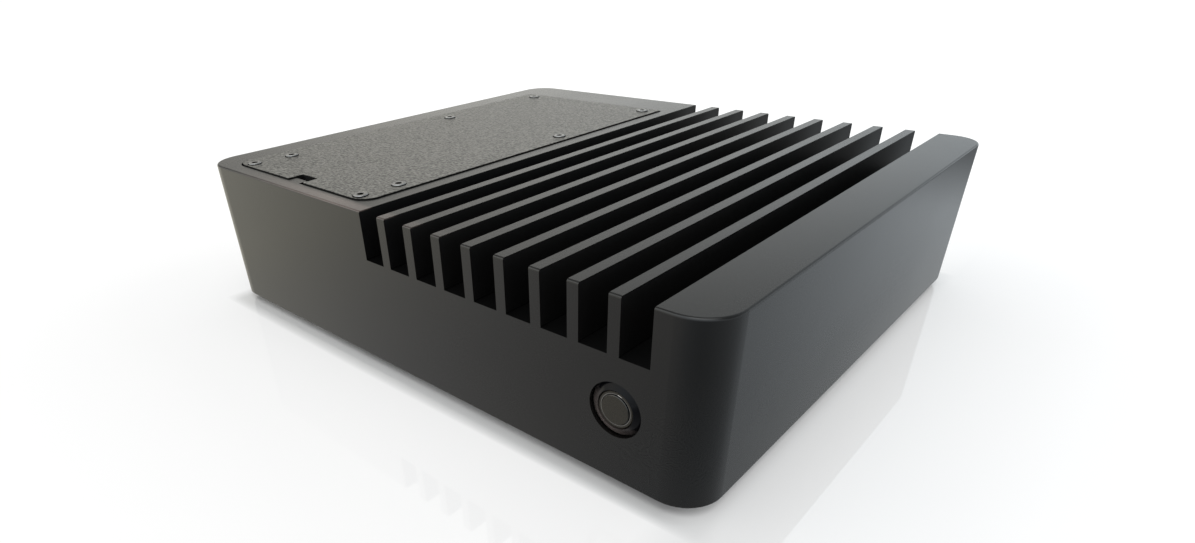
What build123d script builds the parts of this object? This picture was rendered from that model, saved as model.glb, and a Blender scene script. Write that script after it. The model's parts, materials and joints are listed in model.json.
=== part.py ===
"""Fanless industrial computer: machined aluminium chassis with cooling fins, and all that it holds.

The row frame has its origin on the floor under the middle of the chassis, +X to the right seen from
the front, +Y to the rear and +Z up. Places are millimetres from the chassis's front left bottom corner.
"""
from build123d import *
import os

os.makedirs("parts", exist_ok=True)

# Chassis block
body_width = 254.0
body_depth = 222.0
body_height = 60.0
corner_radius = 13.0
edge_radius = 0.8
edge_break = 0.4
foot_height = 3.0

# Cooling slots, cut from the front to the rear
slot_count = 9
slot_width = 10.0
fin_width = 4.0
slot_depth = 18.0
flank_width = 18.5

# Walls of the chassis
side_wall = 10.0
rear_wall = 5.0
roof_thickness = 6.0
deck_thickness = 5.0
bay_wall = 5.0
cavity_radius = 4.0

# Base plate and its rebate
base_thickness = 3.0
base_margin = 3.0
base_gap = 0.2
base_screw_inset = 6.5
base_screw_end = 18.0
base_front_spacing = 96.0
base_thread_depth = 8.0
wall_mount_spacing = 100.0
wall_mount_hole = 4.2

# Rubber feet
foot_diameter = 16.0
foot_recess = 1.0
foot_inset = 24.0
foot_gap = 0.2
foot_draft = 1.0
foot_edge_radius = 0.8

# Access cover and its recess in the deck; the lug stands in the cover's notch
cover_left = 13.7
cover_to_slots = 6.1
cover_front = 6.4
cover_rear_margin = 24.2
cover_front_radius = 7.8
cover_rear_radius = 3.8
cover_gap = 0.8
cover_thickness = 2.0
cover_proud = 0.5
front_ledge = 9.9
rear_ledge = 10.1
side_ledge = 3.2
window_radius = 6.0
notch_offset = 1.0
notch_width = 10.8
notch_depth = 6.9
notch_radius = 0.8
lug_width = 7.8
lug_length = 3.8
lug_offset = -0.4
cover_edge_break = 0.1

# Screws of the cover and of the drive tray under it, from the cover's edges
cover_screw_from_left = 9.5
cover_screw_from_right = 7.6
cover_screw_from_front = 4.5
cover_screw_from_rear = 7.0
tray_screw_from_left = 10.7
tray_screw_from_right = 7.0
tray_screw_from_front = 21.8
tray_screw_spacing = 94.7
thin_head_diameter = 5.6
thin_head_height = 1.4
thin_head_recess = 0.9
thin_head_gap = 0.3
thin_head_bevel = 0.3

# Threads: the hole is the thread's outside, the shank is a little smaller
m3_hole = 3.0
m3_clearance = 3.4
m3_socket = 2.0
m2_hole = 2.0
m2_clearance = 2.4
m2_socket = 1.3
thread_gap = 0.05
screw_tip_gap = 0.6
socket_depth = 0.8
countersunk_m3 = 5.6
pan_m3 = 5.5
pan_height = 1.6
pan_bevel = 0.5

# Power button in the front wall
button_from_right = 29.2
button_below_slots = 17.2
button_recess_diameter = 17.9
bezel_diameter = 17.2
bezel_land = 0.2
bezel_set_back = 0.1
bezel_cone_depth = 1.4
bezel_rim = 0.5
barrel_diameter = 14.9
barrel_length = 20.0
panel_hole_gap = 0.15
clamped_thickness = 5.0
spotface_diameter = 22.0
cap_diameter = 11.9
cap_gap = 0.2
cap_rim_set_back = 0.45
cap_disc_diameter = 9.5
cap_disc_radius = 0.2
cap_groove_width = 0.2
cap_groove_depth = 0.7
cap_collar_diameter = 13.0
cap_collar_length = 1.2
cap_length = 8.0
cap_edge_radius = 0.2
cap_travel = 1.5
lip_length = 3.0
inner_bore = 13.6
plunger_diameter = 5.0
plunger_length = 7.0
seal_thickness = 0.5
seal_inset = 0.2
nut_across_flats = 18.0
nut_thickness = 3.0
contact_start = 14.0
contact_body_diameter = 13.8
contact_body_length = 7.0
terminal_width = 2.8
terminal_thickness = 0.5
terminal_length = 6.0
terminal_spacing = 5.0
spring_mean_diameter = 7.6
spring_wire = 0.7
spring_turns = 4

# Circuit board
board_size = 170.0
board_thickness = 1.6
board_right_gap = 2.0
board_rear_gap = 0.5
board_corner_radius = 1.5
standoff_height = 4.0
standoff_across_flats = 5.5
board_hole_side = 6.35
board_hole_spacing_x = 157.48
board_hole_rear = 10.16
board_hole_spacing_y = 154.94
board_hole_step = 22.86

# Processor and its heat path to the roof, from the board's left and front edges
processor_from_left = 91.0
processor_from_front = 85.0
package_width = 42.0
package_depth = 28.0
package_height = 1.2
die_width = 14.0
die_depth = 11.0
die_height = 0.5
pad_margin = 1.0
pad_thickness = 1.0
upper_pad_thickness = 0.5
pedestal_width = 24.0
pedestal_depth = 20.0
pedestal_height = 4.0
block_width = 46.0
block_depth = 44.0
flange_width = 70.0
flange_depth = 56.0
flange_height = 6.0
flange_screw_inset = 5.0
flange_corner_radius = 4.0
upper_pad_inset_x = 11.0
upper_pad_inset_y = 2.0
roof_thread_depth = 4.5

# Memory modules and their sockets, from the board's left and front edges
memory_length = 67.6
memory_width = 30.0
memory_board = 1.0
memory_height = 2.4
memory_chip_height = 1.1
memory_chips = 4
memory_chip_width = 11.0
memory_chip_length = 12.0
memory_chip_spacing = 15.5
memory_chip_inset = 8.0
memory_socket_width = 6.6
memory_socket_height = 4.6
memory_socket_length = 73.0
memory_grip = 2.2
memory_arm = 1.8
memory_arm_inset = 2.0
edge_gap = 0.05
memory_from_left = 3.0
memory_from_front = 9.0
memory_spacing = 73.6

# Solid-state module on the board
module_length = 80.0
module_width = 22.0
module_board = 0.8
module_height = 2.2
module_chip_height = 1.4
module_from_left = 50.0
module_from_front = 13.0
module_edge_inset = 1.2
module_chip_width = 16.0
module_chips = ((12.0, 26.0), (30.0, 44.0), (50.0, 66.0))
module_socket_depth = 6.0
module_socket_height = 4.2
module_grip = 1.6
module_pillar_diameter = 5.0
module_head_diameter = 4.4
module_head_height = 0.9
module_head_socket = 0.6

# Coin cell, coils, capacitors and headers on the board
cell_diameter = 20.0
cell_thickness = 3.2
cell_from_left = 154.0
cell_from_front = 25.0
cell_edge_break = 0.4
cell_lift = 0.6
cell_holder_wall = 1.4
cell_gap = 0.2
cell_finger_gap = 9.0
cell_floor_rim = 1.0
coil_size = 7.0
coil_height = 4.0
coil_count = 4
coil_spacing = 9.0
coil_from_left = 131.0
coil_from_front = 71.0
coil_edge_break = 0.6
capacitor_diameter = 6.3
capacitor_height = 7.0
capacitor_count = 5
capacitor_spacing = 8.5
capacitor_from_left = 142.0
capacitor_edge_break = 0.5
storage_port_from_left = 42.0
storage_port_from_front = 11.0
storage_port_size = (5.0, 16.6, 8.6)
storage_port_mouth = (2.6, 14.2)
storage_port_tongue = (0.8, 11.0)
storage_port_floor = 3.0
storage_port_tongue_drop = 1.0
header_from_left = 140.0
header_from_front = 8.0
header_body_height = 2.5
header_pin_height = 6.0
header_pin = 0.64
header_pitch = 2.54
header_pin_count = 5

# Drive tray and storage drive under the cover
drive_length = 100.45
drive_to_screw = 3.075
drive_height = 7.0
drive_cover_gap = 2.0
drive_edge_radius = 1.5
drive_edge_break = 0.5
tray_sheet = 1.2
tray_drive_gap = 0.3
tray_flange_width = 4.8
tray_flange_length = 12.0
drive_hole_side = 4.065
drive_hole_spacing_y = 76.6
drive_hole_first = 14.0
drive_hole_depth = 3.0
drive_port_share = 0.6
drive_port_low = 2.6
drive_port_height = 3.0
drive_port_depth = 6.0
drive_tongue_gap = 1.0
drive_tongue_low = 3.4
drive_tongue_height = 1.0
drive_tongue_set_back = 0.6
tray_window_share = 0.55
tray_window_radius = 4.0

# Rear sockets, from the left seen from the front, and the panel round them
panel_thickness = 2.0
panel_border = 3.4
panel_end = 8.0
panel_radius = 3.0
panel_gap = 0.2
window_low = 8.0
window_high = 26.6
window_end_gap = 1.6
connector_gap = 2.4
connector_set_back = 0.8
cutout_gap = 0.3
connector_edge_radius = 0.5
first_connector_from_left = 28.4

# Mouths of the rear sockets: widths and heights, then depths
network_mouth = (11.8, 7.0)
network_latch = (6.4, 1.6)
network_latch_tip = (3.4, 1.4)
network_latch_drop = 4.3
network_latch_tip_drop = 5.2
network_depth = 12.5
usb_mouth = (12.5, 5.1)
usb_tongue = (11.1, 1.8)
usb_mouth_offset = 3.9
usb_tongue_lift = 1.3
usb_set_back = 0.6
usb_depth = 9.0
display_depth = 8.0
display_set_back = 0.8
display_tongue_lift = 0.3
wide_display_mouth = (15.9, 4.6)
wide_display_tongue = (12.4, 1.4)
wide_display_corner = 1.6
narrow_display_mouth = (14.0, 4.4)
narrow_display_tongue = (11.0, 1.1)
narrow_display_corner = (1.6, 1.8)
round_mouth_depth = 10.0
inlet_mouth_diameter = 6.4
inlet_pin_diameter = 2.1
inlet_pin_length = 9.0
inlet_pin_radius = 0.5
audio_mouth_diameter = 3.6

# How near a place must lie to count as the one meant
match = 0.01

chassis_left = -body_width / 2
chassis_front = -body_depth / 2


def level(height):
    """Horizontal plane at a height over the chassis's bottom, with its origin over the front left corner."""
    return Plane((chassis_left, chassis_front, foot_height + height))


def behind(depth, x=0.0, z=0.0):
    """Upright plane facing the rear, at a depth behind the front face; its x runs right and its y down."""
    origin = (chassis_left + x, chassis_front + depth, foot_height + z)
    return Plane(origin, x_dir=(1, 0, 0), z_dir=(0, 1, 0))


def middle(low, high):
    """Point halfway between two values."""
    return (low + high) / 2


def centred(centre, size):
    """Two values that lie half a size each side of a centre."""
    return (centre - size / 2, centre + size / 2)


def grid(xs, ys):
    """All the points that pair an x with a y."""
    return [(x, y) for x in xs for y in ys]


def rounded(x_from, x_to, y_from, y_to, radius):
    """Rectangle with round corners between two x and two y values, in the sketch that is open."""
    with Locations((middle(x_from, x_to), middle(y_from, y_to))):
        RectangleRounded(x_to - x_from, y_to - y_from, radius)


def cover_outline(inset):
    """Plan of the access cover's recess, drawn in by an inset, in the sketch that is open."""
    with Locations((middle(cover_left, cover_right), middle(cover_front, cover_rear))):
        plan = Rectangle(cover_right - cover_left - 2 * inset, cover_rear - cover_front - 2 * inset)
    front_corners, rear_corners = plan.vertices().group_by(Axis.Y)
    fillet(front_corners, cover_front_radius - inset)
    fillet(rear_corners, cover_rear_radius - inset)


def inset_outline(inset):
    """Plan of the chassis, drawn in from its edge by an inset, in the sketch that is open."""
    rounded(inset, body_width - inset, inset, body_depth - inset, corner_radius - inset)


def brick(x, y, z, mode=Mode.ADD):
    """Box between two values along each axis from the chassis's corner, in the part that is open."""
    corner = (chassis_left + x[0], chassis_front + y[0], foot_height + z[0])
    with Locations(corner):
        Box(x[1] - x[0], y[1] - y[0], z[1] - z[0], align=(Align.MIN, Align.MIN, Align.MIN), mode=mode)


def discs(points, diameter, z_from, z_to, mode=Mode.ADD):
    """Upright cylinders at points of the plan, in the part that is open."""
    with BuildSketch(level(z_from)) as plan:
        with Locations(*points):
            Circle(diameter / 2)
    extrude(plan.sketch, amount=z_to - z_from, mode=mode)


def hexagons(points, across_flats, z_from, z_to, mode=Mode.ADD):
    """Upright six-sided prisms at points of the plan, in the part that is open."""
    with BuildSketch(level(z_from)) as plan:
        with Locations(*points):
            RegularPolygon(across_flats / 2, 6, major_radius=False)
    extrude(plan.sketch, amount=z_to - z_from, mode=mode)


def save(builder, name):
    """Label a finished piece and write its file."""
    builder.part.label = name
    export_step(builder.part, f"parts/{name}.step")


# Plan of the deck, from the right flank towards the left
first_slot = body_width - flank_width - slot_count * slot_width - (slot_count - 1) * fin_width
cover_right = first_slot - cover_to_slots
cover_rear = body_depth - cover_rear_margin
button_x = body_width - button_from_right
button_z = body_height - slot_depth - button_below_slots
bezel_seat = bezel_set_back + bezel_cone_depth + bezel_rim


def heads_up(points, height):
    """Places at points of the plan for screws that start at a height and run upwards."""
    return [level(height) * Pos(x, y, 0) for x, y in points]


def heads_down(points, height):
    """Places at points of the plan for screws that start at a height and run downwards."""
    return [level(height) * Pos(x, y, 0) * Rot(180, 0, 0) for x, y in points]


def turned_screw(head, length, socket=m3_socket, depth=socket_depth):
    """One screw along +Z from the top of its head at 0: its head is pairs of radius and distance."""
    shank_radius = head[-1][0]
    with BuildPart() as screw:
        with BuildSketch(Plane.XZ):
            with BuildLine():
                Polyline((0, 0), *head, (shank_radius, length), (0, length), close=True)
            make_face()
        revolve(axis=Axis.Z)
        with BuildSketch():
            RegularPolygon(socket / 2, 6, major_radius=False)
        extrude(amount=depth, mode=Mode.SUBTRACT)
    return screw.part


def screw_group(screw, places):
    """The same screw at several places, as one piece of separate solids."""
    with BuildPart() as group:
        with Locations(*places):
            add(screw)
    return group


# Outlines that several screws share
m3_shank = m3_hole / 2 - thread_gap
countersunk_cone = countersunk_m3 / 2 - m3_shank
countersunk_head = [(countersunk_m3 / 2, 0), (m3_shank, countersunk_cone)]
pan_head = [
    (pan_m3 / 2 - pan_bevel, 0),
    (pan_m3 / 2, pan_bevel),
    (pan_m3 / 2, pan_height),
    (m3_shank, pan_height),
]

# Heights that several pieces share, over the chassis's bottom
roof_low = body_height - slot_depth - roof_thickness
deck_low = body_height - deck_thickness
cover_top = body_height + cover_proud
cover_low = cover_top - cover_thickness
board_low = base_thickness + standoff_height
board_top = board_low + board_thickness

# Plan of the board
board_right = body_width - side_wall - board_right_gap
board_left = board_right - board_size
board_rear = body_depth - rear_wall - board_rear_gap
board_front = board_rear - board_size
board_holes_x = (board_left + board_hole_side, board_left + board_hole_side + board_hole_spacing_x)
board_holes = [
    (board_holes_x[0], board_rear - board_hole_rear),
    (board_holes_x[1], board_rear - board_hole_rear - board_hole_step),
    (board_holes_x[0], board_rear - board_hole_rear - board_hole_spacing_y),
    (board_holes_x[1], board_rear - board_hole_rear - board_hole_spacing_y),
]

# Plan of the screws
side_screws_y = (base_screw_end, body_depth / 2, body_depth - base_screw_end)
base_screws_xy = grid((base_screw_inset, body_width - base_screw_inset), side_screws_y)
base_screws_xy += grid(centred(body_width / 2, base_front_spacing), (base_screw_inset,))
cover_screw_left = cover_left + cover_screw_from_left
cover_screw_right = cover_right - cover_screw_from_right
tray_screw_front = cover_front + tray_screw_from_front
tray_screw_rear = tray_screw_front + tray_screw_spacing
cover_screws_y = (cover_front + cover_screw_from_front, cover_rear - cover_screw_from_rear)
cover_screws_xy = grid((cover_screw_left, cover_screw_right), cover_screws_y)
tray_screw_left = cover_left + tray_screw_from_left
tray_screw_right = cover_right - tray_screw_from_right
tray_screws_xy = grid((tray_screw_left, tray_screw_right), (tray_screw_front, tray_screw_rear))
notch_x = middle(cover_left, cover_right) + notch_offset
processor_x = board_left + processor_from_left
processor_y = board_front + processor_from_front
block_screws_xy = grid(
    centred(processor_x, flange_width - 2 * flange_screw_inset),
    centred(processor_y, flange_depth - 2 * flange_screw_inset),
)

# Rear sockets: name, width, height over the board, depth
connector_sizes = [
    ("power_inlet", 10.0, 11.0, 14.4),
    ("display_socket_left", 17.0, 6.0, 13.0),
    ("display_socket_right", 15.2, 5.8, 12.0),
    ("usb_socket_left", 14.6, 15.6, 18.0),
    ("network_socket_left", 16.0, 13.5, 21.3),
    ("usb_socket_right", 14.6, 15.6, 18.0),
    ("network_socket_right", 16.0, 13.5, 21.3),
    ("audio_socket", 7.0, 6.6, 12.0),
]
connectors = {}
first_connector = board_left + first_connector_from_left
connector_x = first_connector
for connector_name, connector_width, connector_height, connector_depth in connector_sizes:
    connectors[connector_name] = (connector_x, connector_width, connector_height, connector_depth)
    connector_x += connector_width + connector_gap
last_connector = connector_x - connector_gap
connector_face = body_depth - connector_set_back
window_left = first_connector - window_end_gap
window_right = last_connector + window_end_gap
panel_left_end = window_left - panel_end
panel_right_end = window_right + panel_end
panel_low = window_low - panel_border
panel_high = window_high + panel_border
panel_screws = [
    (middle(panel_left_end, window_left), middle(window_low, window_high)),
    (middle(window_right, panel_right_end), middle(window_low, window_high)),
]

# Chassis: one block, machined from above, below, the front and the rear
with BuildPart() as chassis:
    with BuildSketch(level(0)):
        inset_outline(0)
    extrude(amount=body_height)
    fillet(chassis.edges().group_by(Axis.Z)[-1], edge_radius)
    with BuildSketch(level(body_height)):
        for slot in range(slot_count):
            with Locations((first_slot + slot_width / 2 + slot * (slot_width + fin_width), body_depth / 2)):
                Rectangle(slot_width, body_depth)
    extrude(amount=-slot_depth, mode=Mode.SUBTRACT)
    chamfer(chassis.edges().group_by(Axis.Z)[0], edge_break)
    with BuildSketch(level(0)):
        rounded(side_wall, body_width - side_wall, side_wall, body_depth - rear_wall, cavity_radius)
    extrude(amount=roof_low, mode=Mode.SUBTRACT)
    with BuildSketch(level(roof_low)):
        rounded(side_wall, first_slot - bay_wall, side_wall, body_depth - rear_wall, cavity_radius)
    extrude(amount=deck_low - roof_low, mode=Mode.SUBTRACT)
    with BuildSketch(level(0)):
        inset_outline(base_margin)
    extrude(amount=base_thickness, mode=Mode.SUBTRACT)
    with BuildSketch(level(cover_low)):
        cover_outline(0)
    extrude(amount=deck_thickness, mode=Mode.SUBTRACT)
    brick(
        centred(notch_x + lug_offset, lug_width),
        (cover_front, cover_front + lug_length),
        (cover_low, body_height),
    )
    with BuildSketch(level(deck_low)):
        rounded(
            cover_left + side_ledge,
            cover_right - side_ledge,
            cover_front + front_ledge,
            cover_rear - rear_ledge,
            window_radius,
        )
    extrude(amount=deck_thickness, mode=Mode.SUBTRACT)
    discs(cover_screws_xy, m3_hole, deck_low, cover_low, Mode.SUBTRACT)
    discs(base_screws_xy, m3_hole, base_thickness, base_thickness + base_thread_depth, Mode.SUBTRACT)
    discs(block_screws_xy, m3_hole, roof_low, roof_low + roof_thread_depth, Mode.SUBTRACT)
    with BuildSketch(behind(0, button_x, button_z)):
        Circle(barrel_diameter / 2 + panel_hole_gap)
    extrude(amount=side_wall, mode=Mode.SUBTRACT)
    with BuildSketch(behind(0, button_x, button_z)):
        Circle(button_recess_diameter / 2)
    extrude(amount=bezel_seat + seal_thickness, mode=Mode.SUBTRACT)
    with BuildSketch(behind(bezel_seat + seal_thickness + clamped_thickness, button_x, button_z)):
        Circle(spotface_diameter / 2)
    extrude(amount=side_wall - bezel_seat - seal_thickness - clamped_thickness, mode=Mode.SUBTRACT)
    with BuildSketch(behind(body_depth)):
        rounded(window_left, window_right, -window_high, -window_low, panel_radius)
    extrude(amount=-rear_wall, mode=Mode.SUBTRACT)
    with BuildSketch(behind(body_depth)):
        rounded(panel_left_end, panel_right_end, -panel_high, -panel_low, panel_radius)
    extrude(amount=-panel_thickness, mode=Mode.SUBTRACT)
    with BuildSketch(behind(body_depth)):
        with Locations(*[(x, -z) for x, z in panel_screws]):
            Circle(m3_hole / 2)
    extrude(amount=-rear_wall, mode=Mode.SUBTRACT)
save(chassis, "chassis")

# Base plate, set into the rebate of the chassis
with BuildPart() as base_plate:
    with BuildSketch(level(0)):
        inset_outline(base_margin + base_gap)
    extrude(amount=base_thickness)
    discs(base_screws_xy, m3_clearance, 0, base_thickness, Mode.SUBTRACT)
    with Locations(*heads_down(base_screws_xy, 0)):
        CounterSinkHole(m3_clearance / 2, countersunk_m3 / 2 + thread_gap, base_thickness, 90)
    mount_xy = grid(centred(body_width / 2, wall_mount_spacing), centred(body_depth / 2, wall_mount_spacing))
    discs(mount_xy, wall_mount_hole, 0, base_thickness, Mode.SUBTRACT)
    feet_xy = grid((foot_inset, body_width - foot_inset), (foot_inset, body_depth - foot_inset))
    discs(feet_xy, foot_diameter + 2 * foot_gap, 0, foot_recess, Mode.SUBTRACT)
save(base_plate, "base_plate")

# Countersunk screws of the base plate
base_screw_length = base_thickness + base_thread_depth - screw_tip_gap
base_screws = screw_group(turned_screw(countersunk_head, base_screw_length), heads_up(base_screws_xy, 0))
save(base_screws, "base_screws")

# Rubber feet: slightly tapered discs in shallow recesses
foot_names = ("foot_front_left", "foot_rear_left", "foot_front_right", "foot_rear_right")
for foot_name, (foot_x, foot_y) in zip(foot_names, feet_xy):
    with BuildPart() as foot:
        with BuildSketch(level(-foot_height)):
            with Locations((foot_x, foot_y)):
                Circle(foot_diameter / 2 - foot_draft)
        with BuildSketch(level(0)):
            with Locations((foot_x, foot_y)):
                Circle(foot_diameter / 2)
        loft()
        discs([(foot_x, foot_y)], foot_diameter, 0, foot_recess)
        fillet(foot.edges().filter_by(GeomType.CIRCLE).group_by(Axis.Z)[0], foot_edge_radius)
    save(foot, foot_name)

# Access cover with its pry notch and screw recesses
with BuildPart() as access_cover:
    with BuildSketch(level(cover_low)):
        cover_outline(cover_gap)
    extrude(amount=cover_thickness)
    brick(
        centred(notch_x, notch_width),
        (cover_front, cover_front + cover_gap + notch_depth),
        (cover_low, cover_top),
        Mode.SUBTRACT,
    )
    notch_rear = chassis_front + cover_front + cover_gap + notch_depth
    upright_edges = access_cover.edges().filter_by(Axis.Z)
    fillet(upright_edges.filter_by(lambda edge: abs(edge.center().Y - notch_rear) < match), notch_radius)
    chamfer(access_cover.edges().group_by(Axis.Z)[-1], cover_edge_break)
    cover_holes = cover_screws_xy + tray_screws_xy
    head_hole = thin_head_diameter + 2 * thin_head_gap
    discs(cover_holes, m3_clearance, cover_low, cover_top, Mode.SUBTRACT)
    discs(cover_holes, head_hole, cover_top - thin_head_recess, cover_top, Mode.SUBTRACT)
save(access_cover, "access_cover")


def thin_head_screws(points, tip):
    """Low-headed screws through the cover, down to a height."""
    head_top = cover_top - thin_head_recess + thin_head_height
    head = [
        (thin_head_diameter / 2 - thin_head_bevel, 0),
        (thin_head_diameter / 2, thin_head_bevel),
        (thin_head_diameter / 2, thin_head_height),
        (m3_shank, thin_head_height),
    ]
    return screw_group(turned_screw(head, head_top - tip), heads_down(points, head_top))


save(thin_head_screws(cover_screws_xy, deck_low + screw_tip_gap), "cover_screws")
save(thin_head_screws(tray_screws_xy, cover_low - tray_sheet - screw_tip_gap), "tray_screws")

# Folded drive tray: a web under the drive, two side walls and four flanges against the cover
drive_centre_x = middle(tray_screw_left, tray_screw_right)
drive_centre_y = middle(tray_screw_front, tray_screw_rear)
drive_top = cover_low - drive_cover_gap
drive_low = drive_top - drive_height
drive_width = tray_screw_right - tray_screw_left - 2 * drive_to_screw
drive_left = drive_centre_x - drive_width / 2
drive_front = drive_centre_y - drive_length / 2
tray_low = drive_low - tray_sheet
tray_inner = drive_width / 2 + tray_drive_gap
tray_outer = tray_inner + tray_sheet
drive_holes = grid(
    (drive_left + drive_hole_side, drive_left + drive_width - drive_hole_side),
    (drive_front + drive_hole_first, drive_front + drive_hole_first + drive_hole_spacing_y),
)
with BuildPart() as drive_tray:
    tray_y = (tray_screw_front - tray_flange_length / 2, tray_screw_rear + tray_flange_length / 2)
    brick(centred(drive_centre_x, 2 * tray_outer), tray_y, (tray_low, cover_low))
    brick(centred(drive_centre_x, 2 * tray_inner), tray_y, (drive_low, cover_low), Mode.SUBTRACT)
    brick(
        centred(drive_centre_x, 2 * tray_outer),
        (tray_y[0] + tray_flange_length, tray_y[1] - tray_flange_length),
        (drive_low + drive_height / 2, cover_low),
        Mode.SUBTRACT,
    )
    flange_z = (cover_low - tray_sheet, cover_low)
    for x_from, x_to in (
        (drive_centre_x - tray_outer - tray_flange_width, drive_centre_x - tray_inner),
        (drive_centre_x + tray_inner, drive_centre_x + tray_outer + tray_flange_width),
    ):
        for flange_y in (tray_screw_front, tray_screw_rear):
            brick((x_from, x_to), centred(flange_y, tray_flange_length), flange_z)
    discs(tray_screws_xy, m3_hole, flange_z[0], flange_z[1], Mode.SUBTRACT)
    discs(drive_holes, m3_clearance, tray_low, drive_low, Mode.SUBTRACT)
    window_x = centred(drive_centre_x, tray_window_share * drive_width)
    window_y = centred(drive_centre_y, tray_window_share * drive_length)
    with BuildSketch(level(tray_low)):
        rounded(window_x[0], window_x[1], window_y[0], window_y[1], tray_window_radius)
    extrude(amount=tray_sheet, mode=Mode.SUBTRACT)
save(drive_tray, "drive_tray")

# Storage drive: a flat case with its connector step at the rear
with BuildPart() as storage_drive:
    with BuildSketch(level(drive_low)):
        with Locations((drive_centre_x, drive_centre_y)):
            RectangleRounded(drive_width, drive_length, drive_edge_radius)
    extrude(amount=drive_height)
    chamfer(storage_drive.edges().group_by(Axis.Z)[-1], drive_edge_break)
    drive_rear = drive_front + drive_length
    port_width = drive_port_share * drive_width
    brick(
        centred(drive_centre_x, port_width),
        (drive_rear - drive_port_depth, drive_rear),
        (drive_low + drive_port_low, drive_low + drive_port_low + drive_port_height),
        Mode.SUBTRACT,
    )
    brick(
        centred(drive_centre_x, port_width - 2 * drive_tongue_gap),
        (drive_rear - drive_port_depth, drive_rear - drive_tongue_set_back),
        (drive_low + drive_tongue_low, drive_low + drive_tongue_low + drive_tongue_height),
    )
    discs(drive_holes, m3_hole, drive_low, drive_low + drive_hole_depth, Mode.SUBTRACT)
save(storage_drive, "storage_drive")

# Pan-head screws that hold the drive on its tray
drive_screw_length = pan_height + tray_sheet + drive_hole_depth - screw_tip_gap
drive_screws = screw_group(
    turned_screw(pan_head, drive_screw_length), heads_up(drive_holes, tray_low - pan_height)
)
save(drive_screws, "drive_screws")

# Circuit board on brass pillars
with BuildPart() as motherboard:
    brick((board_left, board_right), (board_front, board_rear), (board_low, board_top))
    fillet(motherboard.edges().filter_by(Axis.Z), board_corner_radius)
    discs(board_holes, m3_clearance, board_low, board_top, Mode.SUBTRACT)
save(motherboard, "motherboard")

with BuildPart() as board_standoffs:
    hexagons(board_holes, standoff_across_flats, base_thickness, board_low)
    discs(board_holes, m3_hole, base_thickness, board_low, Mode.SUBTRACT)
save(board_standoffs, "board_standoffs")

board_screw_length = pan_height + board_top - base_thickness - screw_tip_gap
board_screws = screw_group(
    turned_screw(pan_head, board_screw_length), heads_down(board_holes, board_top + pan_height)
)
save(board_screws, "board_screws")

# Processor with its bare die
package_top = board_top + package_height
die_top = package_top + die_height
with BuildPart() as processor:
    brick(centred(processor_x, package_width), centred(processor_y, package_depth), (board_top, package_top))
    brick(centred(processor_x, die_width), centred(processor_y, die_depth), (package_top, die_top))
save(processor, "processor")

pedestal_low = die_top + pad_thickness
with BuildPart() as thermal_pad_lower:
    brick(
        centred(processor_x, die_width + 2 * pad_margin),
        centred(processor_y, die_depth + 2 * pad_margin),
        (die_top, pedestal_low),
    )
save(thermal_pad_lower, "thermal_pad_lower")

# Heat block: pedestal, body and a flange that is screwed to the roof
block_top = roof_low - upper_pad_thickness
flange_low = block_top - flange_height
with BuildPart() as heat_block:
    brick(
        centred(processor_x, pedestal_width),
        centred(processor_y, pedestal_depth),
        (pedestal_low, pedestal_low + pedestal_height),
    )
    brick(
        centred(processor_x, block_width),
        centred(processor_y, block_depth),
        (pedestal_low + pedestal_height, block_top),
    )
    with BuildSketch(level(flange_low)):
        with Locations((processor_x, processor_y)):
            RectangleRounded(flange_width, flange_depth, flange_corner_radius)
    extrude(amount=flange_height)
    discs(block_screws_xy, m3_clearance, flange_low, block_top, Mode.SUBTRACT)
save(heat_block, "heat_block")

with BuildPart() as thermal_pad_upper:
    brick(
        centred(processor_x, flange_width - 2 * upper_pad_inset_x),
        centred(processor_y, flange_depth - 2 * upper_pad_inset_y),
        (block_top, roof_low),
    )
save(thermal_pad_upper, "thermal_pad_upper")

block_screw_length = pan_height + roof_low + roof_thread_depth - screw_tip_gap - flange_low
heat_block_screws = screw_group(
    turned_screw(pan_head, block_screw_length), heads_up(block_screws_xy, flange_low - pan_height)
)
save(heat_block_screws, "heat_block_screws")

# Memory: two modules in line, each with its connector edge in a socket on its right
memory_left = board_left + memory_from_left
memory_front = board_front + memory_from_front
for memory_index, memory_side in enumerate(("front", "rear")):
    memory_y = memory_front + memory_socket_length / 2 + memory_index * memory_spacing
    edge_x = memory_left + memory_width
    slot_low = board_top + memory_height
    with BuildPart() as memory_socket:
        brick(
            (edge_x - memory_grip, edge_x - memory_grip + memory_socket_width),
            centred(memory_y, memory_socket_length),
            (board_top, board_top + memory_socket_height),
        )
        for arm_side in (-1, 1):
            arm_y = memory_y + arm_side * (memory_socket_length - memory_arm) / 2
            arm_x = (memory_left + memory_arm_inset, edge_x)
            brick(arm_x, centred(arm_y, memory_arm), (board_top, slot_low + memory_board))
        brick(
            (edge_x - memory_grip, edge_x + edge_gap),
            centred(memory_y, memory_length + 2 * edge_gap),
            (slot_low, slot_low + memory_board),
            Mode.SUBTRACT,
        )
    save(memory_socket, f"memory_socket_{memory_side}")
    with BuildPart() as memory_module:
        brick((memory_left, edge_x), centred(memory_y, memory_length), (slot_low, slot_low + memory_board))
        for chip in range(memory_chips):
            chip_x = (memory_left + memory_chip_inset, memory_left + memory_chip_inset + memory_chip_length)
            chip_y = memory_y + (chip - (memory_chips - 1) / 2) * memory_chip_spacing
            chip_z = (slot_low + memory_board, slot_low + memory_board + memory_chip_height)
            brick(chip_x, centred(chip_y, memory_chip_width), chip_z)
    save(memory_module, f"memory_module_{memory_side}")

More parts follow.
